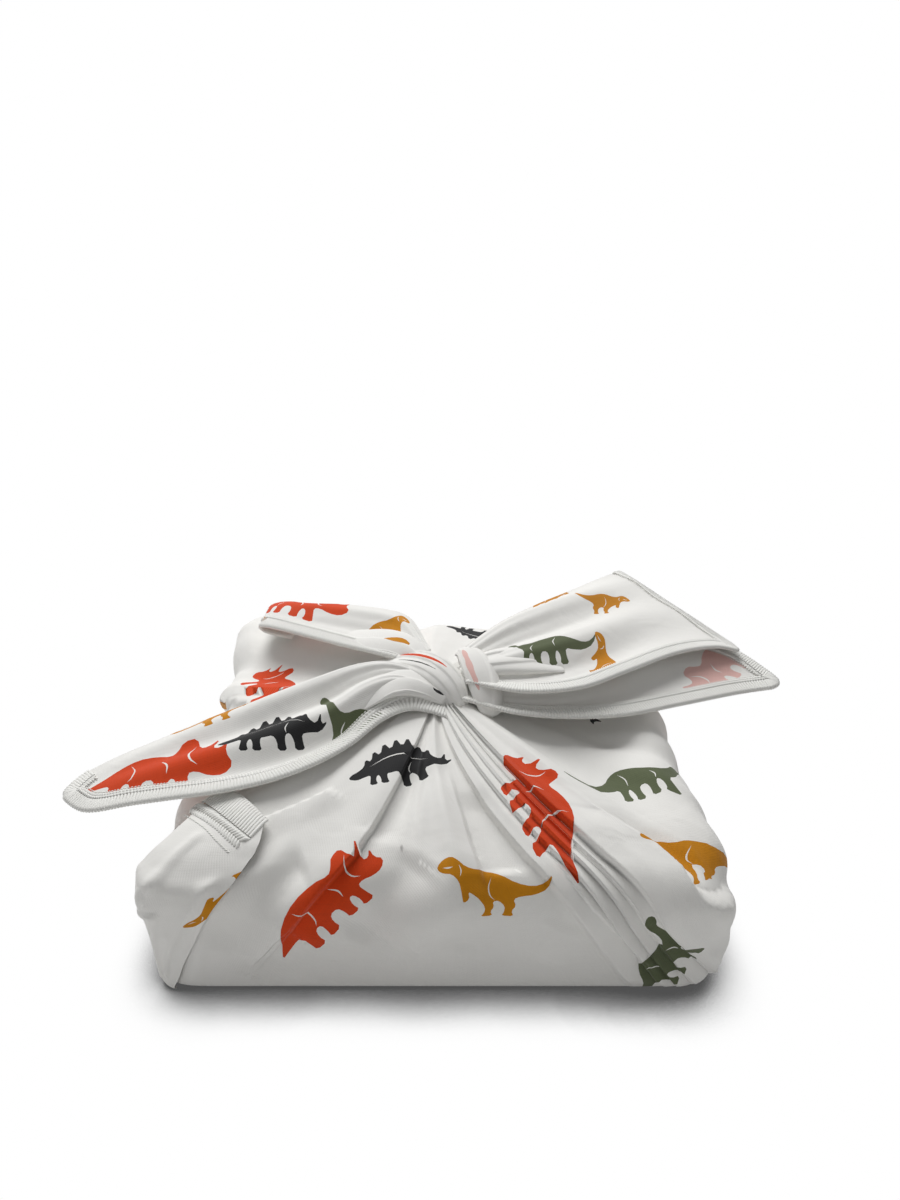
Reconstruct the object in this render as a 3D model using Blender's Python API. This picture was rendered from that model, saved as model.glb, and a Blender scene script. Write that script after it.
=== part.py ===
"""Furoshiki wrap: one square cotton cloth drawn up round a low square pack and tied on top.

The cloth is one solid. Its middle is a hollow shell, the wrap, that follows the pack with the pleats drawn up to the
knot. Its four corners leave the knot as broad leaves that lie over the top of the wrap.
Metres, +Z up. The origin is the middle of the flat underside, and -Y is the front.
"""

import math
from collections import namedtuple

import bpy
import numpy as np

# Driving dimensions
MM = 0.001
PACK_WIDTH = 0.1733
PACK_HEIGHT = 0.0427
CLOTH_THICK = 0.0015
BOTTOM_ROUND = 0.0033
TOP_ROUND = 0.0053
NECK_RADIUS = 0.0127
NECK_HEIGHT = 0.0587
FOOT_SHARE = 0.985

# The plan outline is a superellipse: the higher the power, the sharper the corners.
OUTLINE_POWER = 22
HALF = PACK_WIDTH / 2

# Round the pack a place is a number from 0 to 8: 0 is the middle of the front, 1 the front right corner,
# 2 the middle of the right side, and so on. Up the wrap it is a number from 0 to 3: 0 is the middle of the
# underside, 1 the bottom edge, 2 the top edge and 3 the neck under the knot.
ROUND_TRIP = 8.0
FOOT, RIM, NECK = 1.0, 2.0, 3.0

# A fold runs from the neck over the rim to the foot, and these say where round the pack it is at each. lean 0
# is a soft ridge, +1 or -1 a pleat whose steep side faces up or down the numbers round the pack. foot_share is
# how much of its height is left at the foot. Heights and widths are in millimetres.
Fold = namedtuple("Fold", "neck rim foot height width lean foot_share")
FOLDS = {
    "front_left_puff": Fold(-1.16, -1.03, -1.02, 2.7, 17.3, 0, 0.00),
    "front_left_roll": Fold(-0.78, -0.62, -0.84, 3.0, 12.0, 0, 0.20),
    "front_left_pleat": Fold(-0.36, -0.42, -0.70, 3.7, 17.3, 1, 0.30),
    "front_middle_roll": Fold(-0.12, 0.03, -0.10, 3.0, 14.7, 0, 0.10),
    "front_pleat_first": Fold(0.05, 0.375, 0.755, 3.0, 12.0, -1, 1.00),
    "front_pleat_second": Fold(0.17, 0.487, 0.866, 2.7, 8.7, -1, 1.00),
    "front_pleat_third": Fold(0.28, 0.545, 0.925, 2.4, 7.3, -1, 1.00),
    "front_pleat_fourth": Fold(0.37, 0.600, 0.985, 2.4, 7.3, -1, 1.00),
    "cowl_foot": Fold(0.47, 0.660, 1.100, 4.3, 12.0, -1, 0.90),
    "cowl_top": Fold(0.78, 1.020, 1.300, 5.3, 18.7, 1, 0.00),
    "right_roll": Fold(1.62, 1.52, 1.44, 2.0, 14.7, 0, 0.10),
    "right_pleat": Fold(2.20, 2.28, 2.70, 3.0, 14.7, -1, 0.80),
    "right_back_roll": Fold(2.72, 2.64, 2.84, 2.7, 12.0, 0, 0.40),
    "back_right_cowl": Fold(3.16, 2.98, 2.96, 5.3, 22.7, -1, 0.00),
    "back_right_pleat": Fold(3.62, 3.48, 3.16, 3.2, 13.3, 1, 0.90),
    "back_middle_roll": Fold(4.10, 3.96, 3.90, 3.2, 14.7, 0, 0.20),
    "back_left_pleat": Fold(4.44, 4.54, 4.84, 3.2, 13.3, -1, 0.90),
    "back_left_puff": Fold(5.06, 4.98, 5.00, 4.7, 18.7, 0, 0.00),
    "left_back_roll": Fold(5.36, 5.30, 5.22, 5.3, 17.3, 0, 0.20),
    "left_pleat": Fold(5.84, 5.74, 5.40, 3.0, 13.3, 1, 0.70),
    "left_front_roll": Fold(6.36, 6.36, 6.30, 3.0, 14.7, 0, 0.30),
}
PLEAT_EDGE = 0.16
PLEAT_REACH = 1.6
NECK_SHARE = 0.45

# How the top of the wrap rises to the neck: 1 is a straight tent, less is fuller, more lies lower on the pack.
Rise = namedtuple("Rise", "place power")
RISES = (
    Rise(0.00, 0.80),
    Rise(0.85, 0.80),
    Rise(1.10, 1.70),
    Rise(2.90, 1.70),
    Rise(3.10, 1.00),
    Rise(5.60, 0.90),
    Rise(6.20, 1.20),
    Rise(7.10, 1.00),
    Rise(8.00, 0.80),
)

# Sections across a leaf from its root in the knot to its end, in millimetres: near edge, far edge, crown and
# ripple height.
Section = namedtuple("Section", "near far crown ripple")
LEAVES = {
    "left": (
        Section((3.3, -26.7, 62.7), (-6.7, -2.7, 67.3), 0.0, 0.8),
        Section((-8.0, -30.7, 62.7), (-24.7, 2.7, 67.3), 2.0, 2.0),
        Section((-22.7, -40.0, 59.3), (-44.0, 1.3, 64.7), 3.3, 2.3),
        Section((-40.0, -46.0, 56.0), (-63.3, -8.0, 60.7), 3.3, 2.0),
        Section((-61.3, -52.0, 53.3), (-82.7, -16.7, 56.0), 2.7, 1.3),
        Section((-84.0, -54.0, 50.0), (-100.0, -26.7, 52.0), 2.0, 0.7),
        Section((-105.3, -55.3, 47.3), (-114.7, -35.3, 48.7), 0.7, 0.3),
        Section((-117.3, -54.0, 46.0), (-122.7, -42.7, 46.7), 0.0, 0.0),
    ),
    "right": (
        Section((9.3, -13.3, 60.7), (10.7, -1.3, 61.3), 0.0, 0.7),
        Section((26.7, -20.0, 58.7), (28.0, -4.0, 60.0), 1.3, 1.3),
        Section((45.3, -18.7, 56.0), (50.7, 0.0, 58.0), 2.0, 1.3),
        Section((66.7, -12.7, 53.3), (74.7, 12.0, 56.7), 2.0, 1.1),
        Section((89.3, -2.7, 52.0), (100.0, 24.0, 56.0), 1.3, 0.7),
        Section((113.3, 7.3, 51.3), (120.0, 22.7, 54.7), 0.7, 0.3),
        Section((130.7, 11.3, 52.0), (132.0, 15.3, 52.7), 0.0, 0.0),
    ),
    "back_right": (
        Section((10.7, -9.3, 65.3), (6.7, 10.7, 67.3), 0.0, 0.8),
        Section((30.7, -16.0, 64.0), (24.0, 36.0, 68.7), 2.7, 2.0),
        Section((51.3, -11.3, 62.7), (41.3, 57.3, 67.3), 3.3, 2.3),
        Section((70.7, 2.7, 62.0), (57.3, 74.7, 65.3), 2.7, 2.0),
        Section((92.0, 18.0, 62.0), (72.7, 92.0, 62.7), 2.0, 1.1),
        Section((109.3, 25.3, 61.3), (82.7, 102.7, 60.7), 0.7, 0.5),
        Section((121.3, 26.7, 58.7), (86.7, 106.7, 58.7), 0.0, 0.0),
    ),
    "back_left": (
        Section((-6.7, 4.0, 65.3), (-2.7, 14.7, 67.3), 0.0, 0.8),
        Section((-18.7, 9.3, 64.7), (-13.3, 46.7, 67.3), 2.0, 2.0),
        Section((-36.0, 18.7, 64.0), (-32.7, 56.0, 66.7), 2.7, 1.9),
        Section((-52.0, 29.3, 63.3), (-52.0, 61.3, 64.7), 2.7, 1.3),
        Section((-66.0, 38.7, 62.7), (-65.3, 66.7, 62.7), 2.0, 0.7),
        Section((-74.0, 46.7, 60.0), (-73.3, 68.7, 60.0), 0.7, 0.3),
        Section((-72.0, 48.0, 56.7), (-71.3, 68.7, 56.7), 0.0, 0.3),
        Section((-61.3, 45.3, 55.3), (-60.0, 66.0, 55.3), 0.0, 0.3),
    ),
}
LEAF_RIPPLES = {"left": 2.5, "right": 1.5, "back_right": 2.5, "back_left": 1.5}
LEAF_STEPS = (17, 11)

# Stations along a strap of the knot, in millimetres: centre, half width and half depth.
Station = namedtuple("Station", "centre half_width half_depth")
STRAPS = {
    "band": (
        Station((-18.7, 9.3, 60.0), 4.0, 2.7),
        Station((-12.0, 5.3, 66.0), 7.3, 3.3),
        Station((-2.7, -2.7, 68.7), 9.3, 4.0),
        Station((5.3, -13.3, 67.3), 8.7, 4.0),
        Station((9.3, -22.7, 62.7), 6.0, 3.3),
        Station((11.3, -30.7, 56.0), 2.7, 2.0),
    ),
    "petal": (
        Station((10.0, 20.0, 60.0), 2.7, 2.7),
        Station((11.3, 12.0, 64.7), 4.7, 4.0),
        Station((12.7, 1.3, 68.0), 6.0, 4.7),
        Station((14.7, -10.7, 67.3), 6.0, 4.7),
        Station((16.7, -22.7, 62.7), 4.7, 4.0),
        Station((17.3, -32.0, 56.0), 2.7, 2.0),
    ),
    "left_gather": (
        Station((5.3, -12.0, 62.7), 4.0, 3.3),
        Station((-2.7, -10.7, 67.3), 6.7, 4.0),
        Station((-12.0, -10.7, 68.0), 8.7, 3.3),
        Station((-24.0, -14.0, 65.3), 8.7, 2.7),
        Station((-34.7, -18.0, 61.3), 5.3, 1.3),
    ),
    "right_gather": (
        Station((8.0, -1.3, 64.0), 4.0, 3.3),
        Station((18.7, 4.0, 67.3), 7.3, 4.0),
        Station((30.7, 9.3, 67.3), 10.0, 3.3),
        Station((42.7, 14.7, 65.3), 6.7, 1.3),
    ),
    "back_gather": (
        Station((-2.7, 5.3, 64.0), 4.0, 3.3),
        Station((-12.0, 14.7, 66.7), 7.3, 4.0),
        Station((-24.0, 24.0, 67.3), 8.7, 2.7),
        Station((-34.7, 30.7, 65.3), 5.3, 1.3),
    ),
}
STRAP_SIDES = 16
STRAP_STEPS = 9
STRAP_PLEATS = 4
STRAP_PLEAT_DEPTH = 0.12

CORE_CENTRE = (0.0027, -0.0027, 0.0613)
CORE_HALF_SIZE = (0.0173, 0.0173, 0.0067)
CORE_SIDES, CORE_RINGS = 16, 5

# The corner flap lies over the front left corner, from the foot up to its hemmed end on top.
FlapRow = namedtuple("FlapRow", "up left right")
FLAP_ROWS = (
    FlapRow(1.06, 6.95, 7.05),
    FlapRow(1.23, 6.93, 7.11),
    FlapRow(1.42, 6.90, 7.17),
    FlapRow(1.62, 6.87, 7.23),
    FlapRow(1.82, 6.84, 7.28),
    FlapRow(2.02, 6.81, 7.30),
    FlapRow(2.22, 6.75, 7.23),
)
FLAP_LIFT = 0.0018
FLAP_ROOT = 0.0011
FLAP_STEPS = (14, 10)

# The mouth is the slit between the flap and the front gather, under the left leaf.
MOUTH_CENTRE = (-0.0467, -0.0493, 0.0527)
MOUTH_HALF_SIZE = (0.0107, 0.0032, 0.0067)
MOUTH_TURN = math.radians(45)

# Where the grid of the wrap has its columns across a fold, in fold widths, and its rows up the wrap.
PLEAT_COLUMNS = (-PLEAT_EDGE, 0.0, 0.5, 1.0, PLEAT_REACH)
RIDGE_COLUMNS = (-1.5, -0.9, -0.45, 0.0, 0.45, 0.9, 1.5)
COLUMN_GAPS = (0.025, 0.13)
CORNER_COLUMNS = (-0.20, -0.13, -0.07, 0.0, 0.07, 0.13, 0.20)
WRAP_ROWS = (0.45, 0.93, 1.0, 1.06, 1.12, 1.36, 1.62, 1.82, 1.88, 1.94, 2.0, 2.12, 2.26, 2.42, 2.60, 2.80, 3.0)
HOLLOW_ROWS = (0.45, 0.93, 1.0, 1.12, 1.50, 1.82, 1.91, 2.0, 2.25, 2.6, 2.92)
HOLLOW_COLUMNS = 56

COTTON_COLOUR = (0.90, 0.89, 0.86, 1.0)
COTTON_ROUGHNESS = 0.85


def clear_scene():
    for old in list(bpy.data.objects):
        bpy.data.objects.remove(old, do_unlink=True)


def cotton():
    made = bpy.data.materials.new("printed_cotton")
    made.use_nodes = True
    shader = made.node_tree.nodes["Principled BSDF"]
    shader.inputs["Base Color"].default_value = COTTON_COLOUR
    shader.inputs["Roughness"].default_value = COTTON_ROUGHNESS
    return made


def smooth_step(low, high, value):
    share = np.clip((value - low) / (high - low), 0.0, 1.0)
    return share * share * (3.0 - 2.0 * share)


def round_gap(place, other):
    """The signed way round the pack from other to place, the short way."""
    return (place - other + ROUND_TRIP / 2) % ROUND_TRIP - ROUND_TRIP / 2


def outline(around):
    """Point and outward normal of the plan outline, a superellipse walked side by side."""
    side = np.floor((around + 1.0) / 2.0)
    along = around - 2.0 * side
    turn = side * math.pi / 2
    scale = HALF * (np.abs(along) ** OUTLINE_POWER + 1.0) ** (-1.0 / OUTLINE_POWER)
    slope = np.sign(along) * np.abs(along) ** (OUTLINE_POWER - 1)
    length = np.hypot(slope, 1.0)
    cos, sin = np.cos(turn), np.sin(turn)
    x, y = along * scale, -scale
    points = np.stack([x * cos - y * sin, x * sin + y * cos], axis=-1)
    x, y = slope / length, -1.0 / length
    normals = np.stack([x * cos - y * sin, x * sin + y * cos], axis=-1)
    return points, normals


def fold_places(up):
    """Where the folds are at a height, with the first one again at the end, a round trip later."""
    folds = list(FOLDS.values())
    rims = np.array([fold.rim for fold in folds])
    if up >= RIM:
        ends = np.array([fold.neck for fold in folds])
        share = min(up - RIM, 1.0)
    else:
        ends = np.array([fold.foot for fold in folds])
        share = min(RIM - up, 1.0)
    places = rims + (ends - rims) * share
    return np.append(rims, rims[0] + ROUND_TRIP), np.append(places, places[0] + ROUND_TRIP)


def follow_folds(columns, up):
    """Bend straight columns, named by their place at the rim, so that they run along the folds."""
    rims, places = fold_places(up)
    wrapped = (columns - rims[0]) % ROUND_TRIP
    return np.interp(wrapped, rims - rims[0], places) + columns - rims[0] - wrapped


def fold_height(columns, up):
    """The sum of the folds: a ridge is a bell curve across, a pleat a steep edge and a long gentle back."""
    on_top = np.clip(up - RIM, 0.0, 1.0)
    down = np.clip(RIM - up, 0.0, 1.0)
    total = np.zeros_like(columns)
    for fold in FOLDS.values():
        across = round_gap(columns, fold.rim) * HALF / (fold.width * MM)
        if fold.lean:
            across = -across * fold.lean
            shape = smooth_step(-PLEAT_EDGE, 0.0, across) * (1.0 - smooth_step(0.0, PLEAT_REACH, across))
        else:
            shape = np.exp(-across * across)
        to_neck = 1.0 - (1.0 - NECK_SHARE) * on_top
        to_foot = 1.0 - (1.0 - fold.foot_share) * smooth_step(0.0, 1.0, down)
        total += fold.height * MM * shape * np.where(up >= RIM, to_neck, to_foot)
    return total * smooth_step(FOOT + 0.05, FOOT + 0.22, up)


def wrap_surface(around, up, lift):
    """Points of the wrap. The profile is flat underneath, arcs at both edges, upright sides and a tent on top."""
    points, normals = outline(around)
    bottom_arc, top_arc = BOTTOM_ROUND * math.pi / 2, TOP_ROUND * math.pi / 2
    upright = PACK_HEIGHT - BOTTOM_ROUND - TOP_ROUND
    climbed = np.clip(up - FOOT, 0.0, 1.0) * (bottom_arc + upright + top_arc)
    low_turn = np.clip(climbed / BOTTOM_ROUND, 0.0, math.pi / 2)
    high_turn = np.clip((climbed - bottom_arc - upright) / TOP_ROUND, 0.0, math.pi / 2)
    inward = BOTTOM_ROUND * (1.0 - np.sin(low_turn)) + TOP_ROUND * (1.0 - np.cos(high_turn))
    height = (
        BOTTOM_ROUND * (1.0 - np.cos(low_turn))
        + np.clip(climbed - bottom_arc, 0.0, upright)
        + TOP_ROUND * np.sin(high_turn)
    )
    taper = FOOT_SHARE + (1.0 - FOOT_SHARE) * np.clip(up - FOOT, 0.0, 1.0)
    scale = taper * (1.0 - inward / HALF) * np.clip(up, 0.0, 1.0)
    on_top = np.clip(up - RIM, 0.0, 1.0)
    angle = -math.pi / 2 + around * math.pi / 4
    neck = NECK_RADIUS * np.stack([np.cos(angle), np.sin(angle)], axis=-1)
    plan = points * (scale * (1.0 - on_top))[..., None] + neck * on_top[..., None]
    places = [rise.place for rise in RISES]
    power = np.interp(around % ROUND_TRIP, places, [rise.power for rise in RISES])
    height = height + (NECK_HEIGHT - PACK_HEIGHT) * on_top ** power
    tilt = low_turn - math.pi / 2 + high_turn
    outward = normals * np.cos(tilt)[..., None]
    direction = np.concatenate([outward, np.sin(tilt)[..., None]], axis=-1)
    return np.concatenate([plan, height[..., None]], axis=-1) + direction * lift[..., None]


def grid_normals(grid):
    """Unit normals of a grid of points, from the differences along its two ways."""
    normals = np.cross(np.gradient(grid, axis=0), np.gradient(grid, axis=1))
    return normals / np.linalg.norm(normals, axis=-1, keepdims=True)


def add_object(name, points, faces):
    mesh = bpy.data.meshes.new(name)
    mesh.from_pydata([tuple(p) for p in points], [], faces)
    mesh.update()
    made = bpy.data.objects.new(name, mesh)
    bpy.context.scene.collection.objects.link(made)
    return made


def helper(made):
    """A shape that only cuts or joins, and isn't a piece of its own."""
    made.hide_render = True
    made.display_type = "WIRE"
    return made


def tube_faces(rings, sides, start):
    """Quads between closed rings of points, numbered from start."""
    faces = []
    for i in range(rings - 1):
        for j in range(sides):
            a = start + i * sides + j
            b = start + i * sides + (j + 1) % sides
            faces.append((a, b, b + sides, a + sides))
    return faces


def closed_rings(name, grid, first, last):
    """A closed body from rings of points and a pole at either end."""
    rings, sides = grid.shape[:2]
    points = [first, *grid.reshape(-1, 3), last]
    faces = tube_faces(rings, sides, 1)
    end = len(points) - 1
    faces += [(0, (j + 1) % sides + 1, j + 1) for j in range(sides)]
    top = 1 + (rings - 1) * sides
    faces += [(end, top + j, top + (j + 1) % sides) for j in range(sides)]
    return add_object(name, points, faces)


def sheet_solid(name, upper, lower):
    """A closed body between two grids of the same size, joined round their rim."""
    rows, columns = upper.shape[:2]
    size = rows * columns
    points = np.concatenate([upper.reshape(-1, 3), lower.reshape(-1, 3)])
    faces = []
    for i in range(rows - 1):
        for j in range(columns - 1):
            a = i * columns + j
            faces.append((a, a + columns, a + columns + 1, a + 1))
            faces.append((size + a, size + a + 1, size + a + columns + 1, size + a + columns))
    rim = [j for j in range(columns)]
    rim += [i * columns + columns - 1 for i in range(1, rows)]
    rim += [(rows - 1) * columns + j for j in range(columns - 2, -1, -1)]
    rim += [i * columns for i in range(rows - 2, 0, -1)]
    faces += [(a, b, size + b, size + a) for a, b in zip(rim, rim[1:] + rim[:1])]
    return add_object(name, points, faces)


def smooth_rows(rows, along):
    """A smooth curve through evenly numbered rows, as cubic pieces with slopes from the neighbours."""
    rows = np.asarray(rows, float)
    last = len(rows) - 1
    spot = np.clip(along, 0.0, 1.0) * last
    low = np.minimum(spot.astype(int), last - 1)
    t = (spot - low)[:, None]
    slopes = np.gradient(rows, axis=0)
    a, b = rows[low], rows[low + 1]
    slope_a, slope_b = slopes[low], slopes[low + 1]
    t2, t3 = t * t, t * t * t
    return (2 * t3 - 3 * t2 + 1) * a + (t3 - 2 * t2 + t) * slope_a + (3 * t2 - 2 * t3) * b + (t3 - t2) * slope_b


def wrap_columns():
    """Columns of the wrap: the marks across each fold and round each corner, thinned and filled to even gaps."""
    marks = [corner + step for corner in (1.0, 3.0, 5.0, 7.0) for step in CORNER_COLUMNS]
    for fold in FOLDS.values():
        if fold.lean:
            steps = [-fold.lean * step for step in PLEAT_COLUMNS]
        else:
            steps = RIDGE_COLUMNS
        marks += [fold.rim + step * fold.width * MM / HALF for step in steps]
    marks = sorted(mark % ROUND_TRIP for mark in marks)
    least, most = COLUMN_GAPS
    kept = [marks[0]]
    for mark in marks[1:] + [marks[0] + ROUND_TRIP]:
        gap = mark - kept[-1]
        if gap < least:
            continue
        extra = int(gap / most)
        kept += [kept[-1] + gap * (i + 1) / (extra + 1) for i in range(extra)]
        kept.append(mark)
    return np.array(kept[:-1] if kept[-1] > ROUND_TRIP else kept)


def wrap_grid(columns, rows, inset=None):
    """Points of the wrap on a grid of columns that follow the folds, or of the smooth shape inset from it."""
    grid = []
    for up in rows:
        level = np.full_like(columns, up)
        around = columns if inset else follow_folds(columns, up)
        lift = np.full_like(columns, -inset) if inset else fold_height(columns, level)
        grid.append(wrap_surface(around, level, lift))
    return np.array(grid)


def wrap_shell():
    grid = wrap_grid(wrap_columns(), WRAP_ROWS)
    return closed_rings("furoshiki_cloth", grid, (0.0, 0.0, 0.0), (0.0, 0.0, NECK_HEIGHT + 0.0007))


def wrap_hollow():
    """The space inside the shell, one cloth thickness in from it."""
    columns = np.linspace(0.0, ROUND_TRIP, HOLLOW_COLUMNS, endpoint=False)
    grid = wrap_grid(columns, HOLLOW_ROWS, CLOTH_THICK)
    top = float(grid[-1, :, 2].mean())
    return helper(closed_rings("hollow", grid, (0.0, 0.0, CLOTH_THICK), (0.0, 0.0, top)))


def mouth():
    """A rounded slit cutter, longer than the wall is thick."""
    bpy.ops.mesh.primitive_uv_sphere_add(segments=16, ring_count=8, radius=1.0)
    made = bpy.context.active_object
    made.name = "mouth"
    made.scale = MOUTH_HALF_SIZE
    made.location = MOUTH_CENTRE
    made.rotation_euler = (0.0, 0.0, MOUTH_TURN)
    return helper(made)


def columns_at(around, up):
    """The columns that pass through places round the pack: the other way round from follow_folds."""
    rims, places = fold_places(up)
    wrapped = (around - places[0]) % ROUND_TRIP
    return np.interp(wrapped, places - places[0], rims) + around - places[0] - wrapped


def flap():
    """The corner flap: a sheet that follows the wrap a little above it."""
    rows = smooth_rows(FLAP_ROWS, np.linspace(0.0, 1.0, FLAP_STEPS[0]))
    across = np.linspace(0.0, 1.0, FLAP_STEPS[1])
    upper, lower = [], []
    for up, left, right in rows:
        around = left + (right - left) * across
        level = np.full_like(around, up)
        under = fold_height(columns_at(around, up), level)
        upper.append(wrap_surface(around, level, under + FLAP_LIFT))
        lower.append(wrap_surface(around, level, under - FLAP_ROOT))
    return helper(sheet_solid("flap", np.array(lower), np.array(upper)))


def leaf(name, sections):
    """A leaf: straight across between its two edge curves, plus a crown and ripples that die out to the end."""
    along = np.linspace(0.0, 1.0, LEAF_STEPS[0])
    table = [(*row.near, *row.far, row.crown, row.ripple) for row in sections]
    rows = MM * smooth_rows(table, along)
    across = np.linspace(0.0, 1.0, LEAF_STEPS[1])[None, :, None]
    near, far = rows[:, None, 0:3], rows[:, None, 3:6]
    crown, ripple = rows[:, None, 6:7], rows[:, None, 7:8]
    waves = np.cos(2 * math.pi * LEAF_RIPPLES[name] * across)
    rise = crown * 4.0 * across * (1.0 - across) + ripple * waves
    middle = near + (far - near) * across
    middle[..., 2:] += rise
    normals = grid_normals(middle)
    thick = 0.5 * CLOTH_THICK * normals
    return helper(sheet_solid("leaf_" + name, middle - thick, middle + thick))


def strap(name, stations):
    """A strap of the knot: rings of an oval with pleats, square to the path, closing to a point at both ends."""
    along = np.linspace(0.0, 1.0, STRAP_STEPS)
    rows = MM * smooth_rows([(*row.centre, row.half_width, row.half_depth) for row in stations], along)
    centre = rows[:, :3]
    ahead = np.gradient(centre, axis=0)
    ahead /= np.linalg.norm(ahead, axis=1, keepdims=True)
    side = np.cross(ahead, (0.0, 0.0, 1.0))
    side /= np.linalg.norm(side, axis=1, keepdims=True)
    above = np.cross(side, ahead)
    turn = np.linspace(0.0, 2 * math.pi, STRAP_SIDES, endpoint=False)
    pleats = 1.0 + STRAP_PLEAT_DEPTH * np.cos(STRAP_PLEATS * turn)
    wide = rows[:, 3:4] * np.cos(turn) * pleats
    deep = rows[:, 4:5] * np.sin(turn) * pleats
    grid = centre[:, None] + side[:, None] * wide[..., None] + above[:, None] * deep[..., None]
    return helper(closed_rings("strap_" + name, grid, centre[0], centre[-1]))


def core():
    """The tight middle of the knot: a flattened ball that the straps and leaves run into."""
    polar = np.linspace(0.0, math.pi, CORE_RINGS + 2)[1:-1, None]
    turn = np.linspace(0.0, 2 * math.pi, CORE_SIDES, endpoint=False)[None, :]
    unit = np.stack([
        np.sin(polar) * np.cos(turn),
        np.sin(polar) * np.sin(turn),
        -np.cos(polar) * np.ones_like(turn),
    ], axis=-1)
    grid = np.array(CORE_CENTRE) + unit * np.array(CORE_HALF_SIZE)
    pole = np.array((0.0, 0.0, CORE_HALF_SIZE[2]))
    return helper(closed_rings("core", grid, CORE_CENTRE - pole, CORE_CENTRE + pole))


def combine(target, other, operation):
    step = target.modifiers.new(operation.lower() + "_" + other.name, "BOOLEAN")
    step.operation = operation
    step.solver = "EXACT"
    step.object = other


def main():
    clear_scene()
    cloth = wrap_shell()
    cloth.data.materials.append(cotton())
    combine(cloth, wrap_hollow(), "DIFFERENCE")
    combine(cloth, mouth(), "DIFFERENCE")
    combine(cloth, core(), "UNION")
    for name, stations in STRAPS.items():
        combine(cloth, strap(name, stations), "UNION")
    for name, sections in LEAVES.items():
        combine(cloth, leaf(name, sections), "UNION")
    combine(cloth, flap(), "UNION")


main()
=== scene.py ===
"""Furoshiki wrap: a printed cotton wrapping cloth drawn up round a low square pack and tied on top.

The cloth's surfaces repeat the named values of the part's source. Metres, +Z up, and -Y is the front.
"""

import math
from collections import namedtuple

import bpy
import numpy as np
from bpy.props import FloatProperty, FloatVectorProperty, PointerProperty
from mathutils.geometry import delaunay_2d_cdt
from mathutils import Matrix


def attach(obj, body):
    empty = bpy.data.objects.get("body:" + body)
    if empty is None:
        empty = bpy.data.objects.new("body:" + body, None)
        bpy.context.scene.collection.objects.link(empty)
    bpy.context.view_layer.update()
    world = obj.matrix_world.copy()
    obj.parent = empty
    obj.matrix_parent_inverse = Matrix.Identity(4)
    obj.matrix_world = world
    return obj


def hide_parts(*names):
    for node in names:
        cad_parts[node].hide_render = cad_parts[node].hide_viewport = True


bl_info = {
    "name": "Furoshiki wrap",
    "version": (1, 0, 0),
    "blender": (4, 5, 0),
    "location": "3D View > Sidebar > Furoshiki",
    "description": "A printed cotton wrapping cloth tied round a low square pack",
    "category": "Add Mesh",
}

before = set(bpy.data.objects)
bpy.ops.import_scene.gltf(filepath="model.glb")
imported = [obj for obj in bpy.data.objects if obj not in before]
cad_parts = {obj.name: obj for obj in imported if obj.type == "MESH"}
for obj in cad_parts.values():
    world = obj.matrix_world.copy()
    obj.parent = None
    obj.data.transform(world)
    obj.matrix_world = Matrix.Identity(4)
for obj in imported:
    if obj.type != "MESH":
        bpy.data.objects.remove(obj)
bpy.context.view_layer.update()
CLOTH_NODE = "furoshiki_cloth"
CLOTH_SLOT = "printed_cotton"
BODY = "root"

MM = 0.001
# Places nearer to each other than this are taken as one, and the same for the points that the cutter joins.
SAME, CUT_SAME = 1e-6, 1e-7
# Kept under a length or a determinant that could be nothing, so that something can be divided by it.
TINY_LENGTH, TINY_SQUARE = 1e-12, 1e-14
# Rounds in which a place is found by halving, and by turns.
HALVINGS, TURNS = 40, 25

# The wrap's driving dimensions, as in the part's source
PACK_WIDTH = 0.1733
PACK_HEIGHT = 0.0427
BOTTOM_ROUND = 0.0033
TOP_ROUND = 0.0155
CORNER_ROUND = 0.0060
NECK_RADIUS = 0.0127
NECK_HEIGHT = 0.0587
FOOT_SHARE = 0.985
OUTLINE_POWER = 22
HALF = PACK_WIDTH / 2

# Round the pack a place is a number from 0 to 8: 0 is the middle of the front, 1 the front right corner, 2 the
# middle of the right side, and so on. Up the wrap it is a number from 0 to 3: 0 is the middle of the underside,
# 1 the bottom edge, 2 the top edge and 3 the neck under the knot.
ROUND_TRIP = 8.0
FOOT, RIM = 1.0, 2.0
# The way up a side from the bottom edge to the rim: two quarter arcs and the straight part between them.
FULL_CLIMB = BOTTOM_ROUND * math.pi / 2 + TOP_ROUND * math.pi / 2 + PACK_HEIGHT - BOTTOM_ROUND - TOP_ROUND

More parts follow.
